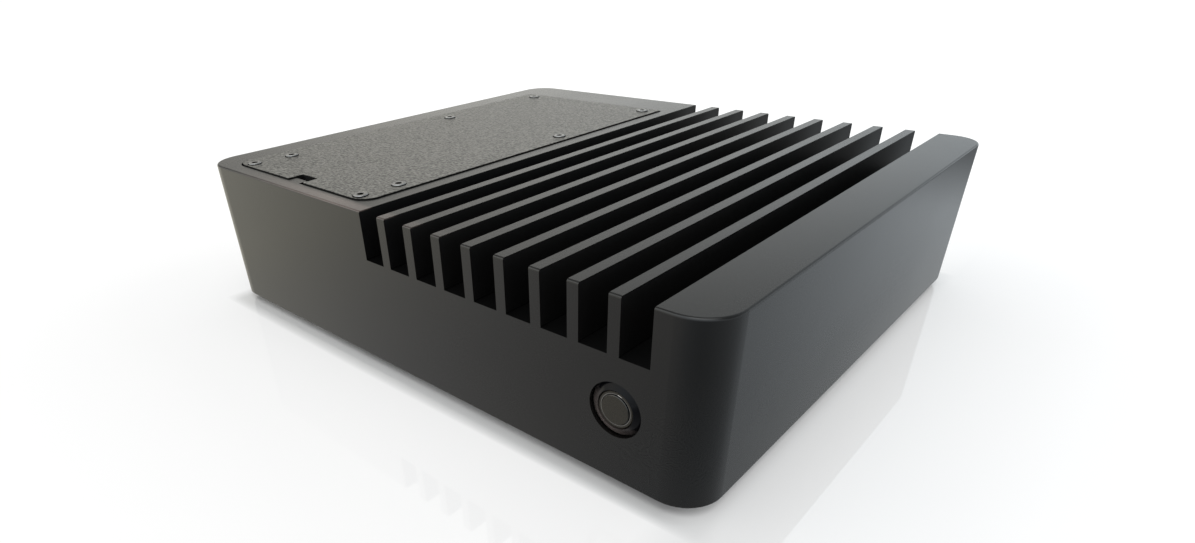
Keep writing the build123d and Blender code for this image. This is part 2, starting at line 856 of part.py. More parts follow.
# Solid-state module, its socket at the left end and its pillar and screw at the right end
module_x = board_left + module_from_left
module_y = board_front + module_from_front
module_low = board_top + module_height
module_right = module_x + module_length
with BuildPart() as module_socket:
    brick(
        (module_x - module_socket_depth + module_grip, module_x + module_grip),
        centred(module_y, module_width),
        (board_top, board_top + module_socket_height),
    )
    brick(
        (module_x - edge_gap, module_x + module_grip),
        centred(module_y, module_width - 2 * module_edge_inset + 2 * edge_gap),
        (module_low, module_low + module_board),
        Mode.SUBTRACT,
    )
save(module_socket, "module_socket")

module_top = module_low + module_board
with BuildPart() as solid_state_module:
    brick((module_x + module_grip, module_right), centred(module_y, module_width), (module_low, module_top))
    brick(
        (module_x, module_x + module_grip),
        centred(module_y, module_width - 2 * module_edge_inset),
        (module_low, module_top),
    )
    for chip_from, chip_to in module_chips:
        brick(
            (module_x + chip_from, module_x + chip_to),
            centred(module_y, module_chip_width),
            (module_top, module_top + module_chip_height),
        )
    discs([(module_right, module_y)], m2_clearance, module_low, module_top, Mode.SUBTRACT)
save(solid_state_module, "solid_state_module")

with BuildPart() as module_pillar:
    discs([(module_right, module_y)], module_pillar_diameter, board_top, module_low)
    discs([(module_right, module_y)], m2_hole, board_top, module_low, Mode.SUBTRACT)
save(module_pillar, "module_pillar")

m2_shank = m2_hole / 2 - thread_gap
module_head = [
    (module_head_diameter / 2, 0),
    (module_head_diameter / 2, module_head_height),
    (m2_shank, module_head_height),
]
module_head_top = module_top + module_head_height
module_screw = screw_group(
    turned_screw(module_head, module_head_top - board_top - screw_tip_gap, m2_socket, module_head_socket),
    heads_down([(module_right, module_y)], module_head_top),
)
save(module_screw, "module_screw")

# Coin cell lying in its holder
cell_xy = [(board_left + cell_from_left, board_front + cell_from_front)]
cell_low = board_top + cell_lift
cell_top = cell_low + cell_thickness
with BuildPart() as cell_holder:
    holder_diameter = cell_diameter + 2 * cell_gap + 2 * cell_holder_wall
    discs(cell_xy, holder_diameter, board_top, cell_top)
    discs(cell_xy, cell_diameter + 2 * cell_gap, cell_low, cell_top, Mode.SUBTRACT)
    brick(
        centred(cell_xy[0][0], holder_diameter),
        centred(cell_xy[0][1], cell_finger_gap),
        (cell_low + cell_floor_rim, cell_top),
        Mode.SUBTRACT,
    )
save(cell_holder, "cell_holder")

with BuildPart() as coin_cell:
    discs(cell_xy, cell_diameter, cell_low, cell_top)
    chamfer(coin_cell.edges().group_by(Axis.Z)[-1], cell_edge_break)
save(coin_cell, "coin_cell")

# Coils and capacitors beside the processor
coil_x = board_left + coil_from_left
coil_y = board_front + coil_from_front
with BuildPart() as coils:
    for coil in range(coil_count):
        brick(
            centred(coil_x, coil_size),
            centred(coil_y + coil * coil_spacing, coil_size),
            (board_top, board_top + coil_height),
        )
    chamfer(coils.edges().group_by(Axis.Z)[-1], coil_edge_break)
save(coils, "coils")

with BuildPart() as capacitors:
    capacitor_x = board_left + capacitor_from_left
    capacitor_xy = [(capacitor_x, coil_y + number * capacitor_spacing) for number in range(capacitor_count)]
    discs(capacitor_xy, capacitor_diameter, board_top, board_top + capacitor_height)
    chamfer(capacitors.edges().group_by(Axis.Z)[-1], capacitor_edge_break)
save(capacitors, "capacitors")

# Storage port and front panel header at the board's front
port_x = board_left + storage_port_from_left
port_y = board_front + storage_port_from_front
port_floor = board_top + storage_port_floor
port_top = board_top + storage_port_size[2]
with BuildPart() as storage_port:
    brick(centred(port_x, storage_port_size[0]), centred(port_y, storage_port_size[1]), (board_top, port_top))
    brick(
        centred(port_x, storage_port_mouth[0]),
        centred(port_y, storage_port_mouth[1]),
        (port_floor, port_top),
        Mode.SUBTRACT,
    )
    brick(
        centred(port_x, storage_port_tongue[0]),
        centred(port_y, storage_port_tongue[1]),
        (port_floor, port_top - storage_port_tongue_drop),
    )
save(storage_port, "storage_port")

with BuildPart() as panel_header:
    header_x = board_left + header_from_left
    header_y = board_front + header_from_front
    header_top = board_top + header_body_height
    header_length = header_pin_count * header_pitch
    brick(centred(header_x, 2 * header_pitch), centred(header_y, header_length), (board_top, header_top))
    with BuildSketch(level(header_top)):
        with Locations((header_x, header_y)):
            with GridLocations(header_pitch, header_pitch, 2, header_pin_count):
                Rectangle(header_pin, header_pin)
    extrude(amount=header_pin_height)
save(panel_header, "panel_header")

# Rear panel, flush in its recess, with a cut-out for each socket
panel_outer = body_depth
with BuildPart() as rear_panel:
    with BuildSketch(behind(panel_outer)):
        rounded(
            panel_left_end + panel_gap,
            panel_right_end - panel_gap,
            panel_gap - panel_high,
            -panel_low - panel_gap,
            panel_radius - panel_gap,
        )
        for socket_x, socket_width, socket_height, socket_depth_in in connectors.values():
            with Locations((socket_x + socket_width / 2, -board_top - socket_height / 2)):
                Rectangle(socket_width + 2 * cutout_gap, socket_height + 2 * cutout_gap, mode=Mode.SUBTRACT)
        with Locations(*[(x, -z) for x, z in panel_screws]):
            Circle(m3_clearance / 2, mode=Mode.SUBTRACT)
    extrude(amount=-panel_thickness)
    with Locations(*[behind(panel_outer, x, z) for x, z in panel_screws]):
        CounterSinkHole(m3_clearance / 2, countersunk_m3 / 2 + thread_gap, panel_thickness, 90)
save(rear_panel, "rear_panel")

rear_screw_places = [behind(panel_outer, x, z) * Rot(180, 0, 0) for x, z in panel_screws]
rear_panel_screws = screw_group(turned_screw(countersunk_head, rear_wall), rear_screw_places)
save(rear_panel_screws, "rear_panel_screws")


def socket_shell(name):
    """Outer box of a rear socket and the x, z of its face's middle."""
    x, width, height, depth = connectors[name]
    with BuildPart() as shell:
        brick((x, x + width), (connector_face - depth, connector_face), (board_top, board_top + height))
        fillet(shell.edges().filter_by(Axis.Y), connector_edge_radius)
    return shell.part, x + width / 2, board_top + height / 2


def sunk(centre_x, centre_z, size, depth, mode=Mode.SUBTRACT, start=0.0):
    """Box of a width and height, sunk from the sockets' faces towards the front, in the part that is open."""
    y = (connector_face - depth, connector_face - start)
    brick(centred(centre_x, size[0]), y, centred(centre_z, size[1]), mode)


# Network sockets: a square mouth with a stepped notch for the latch
for side in ("left", "right"):
    shell_part, mouth_x, mouth_z = socket_shell(f"network_socket_{side}")
    with BuildPart() as network_socket:
        add(shell_part)
        sunk(mouth_x, mouth_z, network_mouth, network_depth)
        sunk(mouth_x, mouth_z - network_latch_drop, network_latch, network_depth)
        sunk(mouth_x, mouth_z - network_latch_tip_drop, network_latch_tip, network_depth)
    save(network_socket, f"network_socket_{side}")

# Double USB sockets: two flat mouths, each with a tongue
for side in ("left", "right"):
    shell_part, mouth_x, mouth_z = socket_shell(f"usb_socket_{side}")
    with BuildPart() as usb_socket:
        add(shell_part)
        for offset in (-usb_mouth_offset, usb_mouth_offset):
            sunk(mouth_x, mouth_z + offset, usb_mouth, usb_depth)
            sunk(mouth_x, mouth_z + offset + usb_tongue_lift, usb_tongue, usb_depth, Mode.ADD, usb_set_back)
    save(usb_socket, f"usb_socket_{side}")

# Display sockets: the left one has one cut corner, the right one has two
shell_part, mouth_x, mouth_z = socket_shell("display_socket_left")
with BuildPart() as display_socket_left:
    add(shell_part)
    half_width, half_height = wide_display_mouth[0] / 2, wide_display_mouth[1] / 2
    cut_width = half_width - wide_display_corner
    cut_height = half_height - wide_display_corner
    with BuildSketch(behind(connector_face, mouth_x, mouth_z)):
        with BuildLine():
            Polyline(
                (-half_width, -half_height),
                (half_width, -half_height),
                (half_width, cut_height),
                (cut_width, half_height),
                (-half_width, half_height),
                close=True,
            )
        make_face()
    extrude(amount=-display_depth, mode=Mode.SUBTRACT)
    tongue_z = mouth_z + display_tongue_lift
    sunk(mouth_x, tongue_z, wide_display_tongue, display_depth, Mode.ADD, display_set_back)
save(display_socket_left, "display_socket_left")

shell_part, mouth_x, mouth_z = socket_shell("display_socket_right")
with BuildPart() as display_socket_right:
    add(shell_part)
    half_width, half_height = narrow_display_mouth[0] / 2, narrow_display_mouth[1] / 2
    cut_width = half_width - narrow_display_corner[0]
    cut_height = half_height - narrow_display_corner[1]
    with BuildSketch(behind(connector_face, mouth_x, mouth_z)):
        with BuildLine():
            Polyline(
                (-half_width, -half_height),
                (half_width, -half_height),
                (half_width, cut_height),
                (cut_width, half_height),
                (-cut_width, half_height),
                (-half_width, cut_height),
                close=True,
            )
        make_face()
    extrude(amount=-display_depth, mode=Mode.SUBTRACT)
    tongue_z = mouth_z + display_tongue_lift
    sunk(mouth_x, tongue_z, narrow_display_tongue, display_depth, Mode.ADD, display_set_back)
save(display_socket_right, "display_socket_right")

# Power inlet: a round mouth with a centre pin
shell_part, mouth_x, mouth_z = socket_shell("power_inlet")
with BuildPart() as power_inlet:
    add(shell_part)
    with BuildSketch(behind(connector_face, mouth_x, mouth_z)):
        Circle(inlet_mouth_diameter / 2)
    extrude(amount=-round_mouth_depth, mode=Mode.SUBTRACT)
    with BuildSketch(behind(connector_face - round_mouth_depth, mouth_x, mouth_z)):
        Circle(inlet_pin_diameter / 2)
    extrude(amount=inlet_pin_length)
    pin_tip = power_inlet.faces().filter_by(GeomType.PLANE).sort_by(SortBy.AREA)[0]
    fillet(pin_tip.edges(), inlet_pin_radius)
save(power_inlet, "power_inlet")

# Audio socket: a narrow round mouth
shell_part, mouth_x, mouth_z = socket_shell("audio_socket")
with BuildPart() as audio_socket:
    add(shell_part)
    with BuildSketch(behind(connector_face, mouth_x, mouth_z)):
        Circle(audio_mouth_diameter / 2)
    extrude(amount=-round_mouth_depth, mode=Mode.SUBTRACT)
save(audio_socket, "audio_socket")


def turned(outline):
    """Solid turned on the button's axis, in the part that is open, from pairs of radius and depth."""
    side = Plane((chassis_left + button_x, chassis_front, foot_height + button_z), x_dir=(1, 0, 0))
    with BuildSketch(side) as profile:
        with BuildLine():
            Polyline((0, outline[0][1]), *outline, (0, outline[-1][1]), close=True)
        make_face()
    revolve(profile.sketch, axis=Axis(side.origin, (0, 1, 0)))


# Button housing: conical bezel and threaded barrel, with a lip that holds the cap in
with BuildPart() as button_housing:
    bezel_radius, barrel_radius = bezel_diameter / 2, barrel_diameter / 2
    turned(
        [
            (cap_diameter / 2 + cap_gap + bezel_land, bezel_set_back),
            (bezel_radius, bezel_set_back + bezel_cone_depth),
            (bezel_radius, bezel_seat),
            (barrel_radius, bezel_seat),
            (barrel_radius, barrel_length),
        ]
    )
    with BuildSketch(behind(0, button_x, button_z)):
        Circle(cap_diameter / 2 + cap_gap)
    extrude(amount=lip_length, mode=Mode.SUBTRACT)
    with BuildSketch(behind(lip_length, button_x, button_z)):
        Circle(inner_bore / 2)
    extrude(amount=barrel_length - lip_length, mode=Mode.SUBTRACT)
save(button_housing, "button_housing")

# Button cap: a rim, a groove and a raised disc in front, a collar behind the lip, and a plunger
with BuildPart() as button_cap:
    collar_start = lip_length + cap_gap
    collar_end = collar_start + cap_collar_length
    cap_radius, collar_radius = cap_diameter / 2, cap_collar_diameter / 2
    disc_radius = cap_disc_diameter / 2
    turned(
        [
            (disc_radius - cap_disc_radius, 0),
            (disc_radius, cap_disc_radius),
            (disc_radius, cap_groove_depth),
            (disc_radius + cap_groove_width, cap_groove_depth),
            (disc_radius + cap_groove_width, cap_rim_set_back),
            (cap_radius - cap_edge_radius, cap_rim_set_back),
            (cap_radius, cap_rim_set_back + cap_edge_radius),
            (cap_radius, collar_start),
            (collar_radius, collar_start),
            (collar_radius, collar_end),
            (cap_radius, collar_end),
            (cap_radius, cap_length),
            (plunger_diameter / 2, cap_length),
            (plunger_diameter / 2, cap_length + plunger_length),
        ]
    )
save(button_cap, "button_cap")

# Seal between the bezel and the bottom of the recess
with BuildPart() as button_seal:
    with BuildSketch(behind(bezel_seat, button_x, button_z)):
        Circle(bezel_diameter / 2 - seal_inset)
        Circle(barrel_diameter / 2 + panel_hole_gap, mode=Mode.SUBTRACT)
    extrude(amount=seal_thickness)
save(button_seal, "button_seal")

# Nut that holds the button in the wall
with BuildPart() as button_nut:
    with BuildSketch(behind(bezel_seat + seal_thickness + clamped_thickness, button_x, button_z)):
        RegularPolygon(nut_across_flats / 2, 6, major_radius=False)
        Circle(barrel_diameter / 2 + thread_gap, mode=Mode.SUBTRACT)
    extrude(amount=nut_thickness)
save(button_nut, "button_nut")

# Contact block in the end of the barrel, with a pocket for the plunger and four terminals
with BuildPart() as button_contacts:
    turned(
        [
            (inner_bore / 2 - thread_gap, contact_start),
            (inner_bore / 2 - thread_gap, barrel_length),
            (contact_body_diameter / 2, barrel_length),
            (contact_body_diameter / 2, barrel_length + contact_body_length),
        ]
    )
    with BuildSketch(behind(contact_start, button_x, button_z)):
        Circle(plunger_diameter / 2 + cap_gap)
    extrude(amount=cap_length + plunger_length + cap_travel + cap_gap - contact_start, mode=Mode.SUBTRACT)
    terminal_start = barrel_length + contact_body_length
    with BuildSketch(behind(terminal_start, button_x, button_z)):
        with GridLocations(terminal_spacing, terminal_spacing, 2, 2):
            Rectangle(terminal_width, terminal_thickness)
    extrude(amount=terminal_length)
save(button_contacts, "button_contacts")

# Return spring round the plunger, from the cap's shoulder to the contact block
with BuildPart() as button_spring:
    spring_start = cap_length + spring_wire / 2
    spring_span = contact_start - cap_length - spring_wire
    with BuildLine() as coil_line:
        Helix(
            spring_span / spring_turns,
            spring_span,
            spring_mean_diameter / 2,
            center=behind(spring_start, button_x, button_z).origin,
            direction=(0, 1, 0),
        )
    with BuildSketch(Plane(coil_line.line @ 0, z_dir=coil_line.line % 0)):
        Circle(spring_wire / 2)
    sweep(is_frenet=True)
save(button_spring, "button_spring")
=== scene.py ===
"""Studio scene of a fanless industrial computer: finishes for its solids, and the fine pieces that go on them."""
import json
import logging
import math
import random
from dataclasses import dataclass, field
from enum import Enum
from typing import Iterable, Optional, Sequence, Union

import bmesh
import bpy
from mathutils import Matrix, Quaternion, Vector


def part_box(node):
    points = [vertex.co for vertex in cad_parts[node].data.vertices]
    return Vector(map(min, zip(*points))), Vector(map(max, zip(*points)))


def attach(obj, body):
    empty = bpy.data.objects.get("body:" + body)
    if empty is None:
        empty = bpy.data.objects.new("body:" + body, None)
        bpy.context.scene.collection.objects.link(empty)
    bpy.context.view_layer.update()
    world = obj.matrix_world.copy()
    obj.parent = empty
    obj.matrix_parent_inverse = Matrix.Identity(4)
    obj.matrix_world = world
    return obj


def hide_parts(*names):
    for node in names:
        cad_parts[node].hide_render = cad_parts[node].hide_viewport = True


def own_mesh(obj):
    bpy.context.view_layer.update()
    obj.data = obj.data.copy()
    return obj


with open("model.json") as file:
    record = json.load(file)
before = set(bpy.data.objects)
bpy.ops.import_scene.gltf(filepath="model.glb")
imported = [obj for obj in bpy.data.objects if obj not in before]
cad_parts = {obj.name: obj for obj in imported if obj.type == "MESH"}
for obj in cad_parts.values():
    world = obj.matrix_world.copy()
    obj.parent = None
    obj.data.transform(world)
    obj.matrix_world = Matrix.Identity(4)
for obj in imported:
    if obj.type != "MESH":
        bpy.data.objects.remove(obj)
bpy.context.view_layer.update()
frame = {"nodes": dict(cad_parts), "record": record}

MM = 0.001
FRAME_BODY = "frame"
BUTTON_BODY = "button"
IMAGE_WIDTH = 1195
IMAGE_HEIGHT = 543

Number = Union[float, "Wire"]
Colour = tuple[float, float, float]

logging.basicConfig(level=logging.INFO, format="%(name)s: %(message)s")
log = logging.getLogger("computer")


class Wire:
    """A shader socket whose arithmetic adds Math nodes to its tree."""

    def __init__(self, recipe: "Recipe", socket: bpy.types.NodeSocket) -> None:
        """Hold a socket.

        Args:
            recipe: the material under construction.
            socket: the output that the wire stands for.
        """
        self.recipe = recipe
        self.socket = socket

    def _math(self, operation: str, first: Number, second: Optional[Number] = None, clamp: bool = False) -> "Wire":
        """Add one Math node.

        Args:
            operation: name of the operation.
            first: first value or wire.
            second: second value or wire, where the operation has one.
            clamp: whether the result is kept between 0 and 1.

        Returns:
            The node's result.
        """
        values = {0: first} if second is None else {0: first, 1: second}
        node = self.recipe.node("ShaderNodeMath", {"operation": operation, "use_clamp": clamp}, values)
        return self.recipe.wire(node)

    def __add__(self, other: Number) -> "Wire":
        """Sum."""
        return self._math("ADD", self, other)

    def __radd__(self, other: Number) -> "Wire":
        """Sum, reflected."""
        return self._math("ADD", other, self)

    def __sub__(self, other: Number) -> "Wire":
        """Difference."""
        return self._math("SUBTRACT", self, other)

    def __rsub__(self, other: Number) -> "Wire":
        """Difference, reflected."""
        return self._math("SUBTRACT", other, self)

    def __mul__(self, other: Number) -> "Wire":
        """Product."""
        return self._math("MULTIPLY", self, other)

    def __rmul__(self, other: Number) -> "Wire":
        """Product, reflected."""
        return self._math("MULTIPLY", other, self)

    def __truediv__(self, other: Number) -> "Wire":
        """Quotient."""
        return self._math("DIVIDE", self, other)

    def __pow__(self, other: Number) -> "Wire":
        """Power."""
        return self._math("POWER", self, other)

    def __gt__(self, other: Number) -> "Wire":
        """1 where the wire is greater, else 0."""
        return self._math("GREATER_THAN", self, other)

    def __lt__(self, other: Number) -> "Wire":
        """1 where the wire is smaller, else 0."""
        return self._math("LESS_THAN", self, other)

    def size(self) -> "Wire":
        """Absolute value."""
        return self._math("ABSOLUTE", self)

    def sine(self) -> "Wire":
        """Sine, of radians."""
        return self._math("SINE", self)

    def above_zero(self) -> "Wire":
        """The wire, or 0 where it is negative."""
        return self._math("MAXIMUM", self, 0.0)

    def held(self) -> "Wire":
        """The wire kept between 0 and 1."""
        return self._math("ADD", self, 0.0, clamp=True)


class Recipe:
    """Nodes of one material or of the surroundings, from its coordinates to its output."""

    def __init__(self, name: str, owner: Optional[bpy.types.World] = None) -> None:
        """Start an empty tree.

        Args:
            name: the material's name.
            owner: the world whose nodes are built, in place of a new material.
        """
        self.material = owner or bpy.data.materials.new(name)
        self.material.use_nodes = True
        self.tree = self.material.node_tree
        self.tree.nodes.clear()
        self.output = self.tree.nodes.new("ShaderNodeOutputWorld" if owner else "ShaderNodeOutputMaterial")

    def node(self, kind: str, settings: Optional[dict] = None, values: Optional[dict] = None) -> bpy.types.Node:
        """Add a node.

        Args:
            kind: the node's type.
            settings: properties that are set first, with a ramp's stops under "stops".
            values: socket name or number to a value, a Wire or a node's output.

        Returns:
            The new node.
        """
        node = self.tree.nodes.new(kind)
        for key, value in (settings or {}).items():
            if key == "stops":
                self._set_stops(node.color_ramp, value)
            else:
                setattr(node, key, value)
        for key, value in (values or {}).items():
            self.feed(node.inputs[key], value)
        return node

    @staticmethod
    def _set_stops(ramp: bpy.types.ColorRamp, stops: Sequence[tuple[float, Colour]]) -> None:
        """Give a ramp its stops.

        Args:
            ramp: the ramp.
            stops: position and colour of each stop.
        """
        while len(ramp.elements) > 1:
            ramp.elements.remove(ramp.elements[0])
        for number, (position, colour) in enumerate(stops):
            element = ramp.elements[0] if number == 0 else ramp.elements.new(position)
            element.position = position
            element.color = (*colour, 1.0)

    def feed(self, socket: bpy.types.NodeSocket, value: object) -> None:
        """Set a socket or link it.

        Args:
            socket: the input.
            value: a number, a colour, a Wire or an output socket.
        """
        if isinstance(value, Wire):
            self.tree.links.new(value.socket, socket)
        elif isinstance(value, bpy.types.NodeSocket):
            self.tree.links.new(value, socket)
        elif isinstance(value, tuple) and len(value) == 3 and socket.type == "RGBA":
            socket.default_value = (*value, 1.0)
        else:
            socket.default_value = value

    def wire(self, node: bpy.types.Node, output: Union[int, str] = 0) -> Wire:
        """Wrap an output of a node."""
        return Wire(self, node.outputs[output])

    def place(self) -> bpy.types.NodeSocket:
        """Object coordinates, in metres in the row frame."""
        return self.node("ShaderNodeTexCoord").outputs["Object"]

    def axes(self) -> tuple[Wire, Wire, Wire]:
        """The three object coordinates as wires."""
        split = self.node("ShaderNodeSeparateXYZ", None, {0: self.place()})
        return self.wire(split, 0), self.wire(split, 1), self.wire(split, 2)

    def noise(self, scale: float, detail: float = 3.0, rough: float = 0.5, stretch: Colour = (1, 1, 1)) -> Wire:
        """Noise on object coordinates.

        Args:
            scale: repeats in a metre.
            detail: octaves.
            rough: weight of the fine octaves.
            stretch: scale along each axis.

        Returns:
            The noise, about 0.5 on average.
        """
        mapped = self.node("ShaderNodeMapping", {"vector_type": "POINT"}, {"Vector": self.place(), "Scale": stretch})
        values = {"Vector": mapped.outputs[0], "Scale": scale, "Detail": detail, "Roughness": rough}
        return self.wire(self.node("ShaderNodeTexNoise", {"noise_dimensions": "3D"}, values))

    def cells(self, scale: float, feature: str = "F1", output: str = "Distance") -> Wire:
        """Voronoi cells on object coordinates.

        Args:
            scale: repeats in a metre.
            feature: which distance is measured.
            output: which result is used.

        Returns:
            The chosen result.
        """
        values = {"Vector": self.place(), "Scale": scale}
        return self.wire(self.node("ShaderNodeTexVoronoi", {"feature": feature}, values), output)

    def blend(self, factor: Number, first: object, second: object) -> bpy.types.NodeSocket:
        """Mix two colours.

        Args:
            factor: share of the second colour.
            first: colour where the factor is 0.
            second: colour where the factor is 1.

        Returns:
            The mixed colour's output.
        """
        mix = self.node("ShaderNodeMix", {"data_type": "RGBA"}, {"Factor": factor, 6: first, 7: second})
        return mix.outputs[2]

    def scaled(self, colour: object, factor: Number) -> bpy.types.NodeSocket:
        """Multiply a colour by a number.

        Args:
            colour: a colour or a colour's output.
            factor: the number or wire.

        Returns:
            The scaled colour's output.
        """
        return self.node("ShaderNodeVectorMath", {"operation": "SCALE"}, {0: colour, "Scale": factor}).outputs[0]

    def bump(self, height: Wire, depth: float, strength: float = 1.0) -> bpy.types.NodeSocket:
        """Bump from a height.

        Args:
            height: the relief, about 0 to 1.
            depth: the height of a step of 1, in metres.
            strength: share of the relief that shows.

        Returns:
            The bent normal.
        """
        node = self.node("ShaderNodeBump", None, {"Height": height, "Distance": depth, "Strength": strength})
        return node.outputs[0]

    def shade(self, factor: Number, first: bpy.types.Node, second: bpy.types.Node) -> bpy.types.Node:
        """Mix two shaders.

        Args:
            factor: share of the second shader.
            first: shader where the factor is 0.
            second: shader where the factor is 1.

        Returns:
            The mixing node.
        """
        return self.node("ShaderNodeMixShader", None, {0: factor, 1: first.outputs[0], 2: second.outputs[0]})

    def end(self, shader: bpy.types.Node) -> bpy.types.Material:
        """Link a shader to the output.

        Args:
            shader: the last shader.

        Returns:
            The finished material or world.
        """
        self.tree.links.new(shader.outputs[0], self.output.inputs["Surface"])
        return self.material

    def surface(self, values: dict) -> bpy.types.Material:
        """End the material with one Principled shader.

        Args:
            values: socket name to a value, a Wire or an output.

        Returns:
            The finished material.
        """
        return self.end(self.node("ShaderNodeBsdfPrincipled", None, values))

    def shaded_surface(self, values: dict, share: Number) -> bpy.types.Material:
        """End the material with a Principled shader that gives way to matt black as painted shade.

        Args:
            values: socket name of the Principled shader to a value, a Wire or an output.
            share: how much of the surface is painted black as shade.

        Returns:
            The finished material.
        """
        main = self.node("ShaderNodeBsdfPrincipled", None, values)
        # matt black: painted shade
        black = self.node("ShaderNodeBsdfDiffuse", None, {"Color": (0.002, 0.002, 0.002)})
        return self.end(self.shade(share, main, black))


@dataclass(frozen=True)
class Anodised:
    """Black anodising over a machined and fine-blasted aluminium surface, with a painted paler sheen along the deck's
    front.

    The sheen is a clear oxide over dye, so it reflects as a dielectric does: little from in front, more at a slant.
    """

    name: str = "black_anodised"
    dye: Colour = (0.0013, 0.0014, 0.0018)
    dye_warm: Colour = (0.0036, 0.0032, 0.0029)
    roughness: float = 0.25
    cloud_scale: float = 11.0
    grain_scale: float = 4200.0
    grain_depth: float = 0.000010
    refraction: float = 1.5
    # colour of the painted sheen along the front of the deck
    pale: Colour = (0.113, 0.089, 0.080)
    deck_sheen_patch: Colour = (-0.035, -0.1045, 0.0626)
    slots: tuple[float, float] = (-0.0137, 0.1087)
    slot_top: float = 0.0628
    slot_low: float = 0.0448
    slot_reach: float = 0.1108
    # shares of matt black painted into the slots as shade, more on their floors
    slot_shade_share: float = 0.25
    slot_floor_shade_share: float = 0.5
    floor_height: float = 0.0006

    def material(self) -> bpy.types.Material:
        """Build the finish."""
        recipe = Recipe(self.name)
        cloud = recipe.noise(self.cloud_scale, 3.0, 0.55)
        streak = recipe.noise(26.0, 2.0, 0.5, (1.0, 0.25, 1.0))
        fine = recipe.noise(self.grain_scale, 2.0, 0.6)
        x, y, z = recipe.axes()
        # painted sheen: the base colour turns paler in a patch along the front of the deck, brightest at one x
        band = ((self.deck_sheen_patch[1] - y) * 400.0).held() * (z > self.deck_sheen_patch[2])
        deck_sheen = band * (1.0 - ((x - self.deck_sheen_patch[0]) * 14.0).size()).held()
        dyed = recipe.blend(((cloud - 0.38) * 3.0).held(), self.dye, self.dye_warm)
        inside = (z < self.slot_top) * (z > self.slot_low) * (x > self.slots[0]) * (x < self.slots[1])
        inside = inside * (y.size() < self.slot_reach)
        # painted shade: inside the slots the surface is mixed towards matt black, more on the slot floors
        shade = inside * ((z < self.slot_low + self.floor_height) * self.slot_floor_shade_share + self.slot_shade_share)
        return recipe.shaded_surface(
            {
                "Base Color": recipe.blend(deck_sheen, dyed, self.pale),
                "Roughness": (
                    (cloud - 0.5) * 0.10 + (streak - 0.5) * 0.06 + (fine - 0.5) * 0.08 + inside * 0.2 + self.roughness
                ).held(),
                "IOR": self.refraction,
                "Normal": recipe.bump(fine, self.grain_depth, 0.7),
            },
            shade,
        )


@dataclass(frozen=True)
class Crinkle:
    """Dark powder coat that dried in a fine leathery crinkle, its sides painted black as shade."""

    name: str = "crinkle_coat"
    low: Colour = (0.030, 0.029, 0.027)
    high: Colour = (0.196, 0.190, 0.171)
    roughness: float = 0.36
    grain: float = 1000.0
    depth: float = 0.00045
    top: float = 0.0635
    edge: float = 0.00012

    def material(self) -> bpy.types.Material:
        """Build the finish."""
        recipe = Recipe(self.name)
        _, _, z = recipe.axes()
        drift = recipe.noise(self.grain * 0.45, 2.0, 0.5)
        fold = recipe.cells(self.grain, "SMOOTH_F1")
        small = recipe.noise(self.grain * 0.95, 3.0, 0.62)
        relief = (fold * 0.75 + small * 0.55 + drift * 0.3).held()
        coat = recipe.blend(((small - 0.40) * 5.0).held(), self.low, self.high)
        # painted shade: faces below the top, the plate's sides, are near-black and rougher
        side = z < self.top - self.edge
        return recipe.surface(
            {
                "Base Color": recipe.blend(side, coat, (0.001, 0.001, 0.001)),
                "Roughness": ((small - 0.5) * 0.25 + self.roughness + side * 0.5).held(),
                "IOR": 1.32,
                "Normal": recipe.bump(relief, self.depth, 0.9),
            }
        )


@dataclass(frozen=True)
class Turned:
    """Turned or ground metal: fine lines round an axis or along a direction, with light wear."""

    name: str
    colour: Colour
    metallic: float = 1.0
    roughness: float = 0.3
    centre: Optional[Colour] = None
    line_scale: float = 4200.0
    line_depth: float = 0.000006

    def material(self) -> bpy.types.Material:
        """Build the finish."""
        recipe = Recipe(self.name)
        x, y, z = recipe.axes()
        if self.centre is None:
            lines = (x * 0.4 + y * 0.3 + z) * self.line_scale
        else:
            across = (x - self.centre[0]) ** 2.0
            up = (z - self.centre[2]) ** 2.0
            lines = ((across + up) ** 0.5) * self.line_scale * 2.0
        wander = recipe.noise(180.0, 2.0)
        ridge = (lines + wander * 3.0).sine() * 0.5 + 0.5
        smudge = recipe.noise(60.0, 3.0, 0.6)
        dark = tuple(part * 0.8 for part in self.colour)
        return recipe.surface(
            {
                "Base Color": recipe.blend(((smudge - 0.3) * 2.0).held(), dark, self.colour),
                "Metallic": self.metallic,
                "Roughness": ((smudge - 0.5) * 0.2 + ridge * 0.04 + self.roughness).held(),
                "Normal": recipe.bump(ridge, self.line_depth, 0.6),
            }
        )


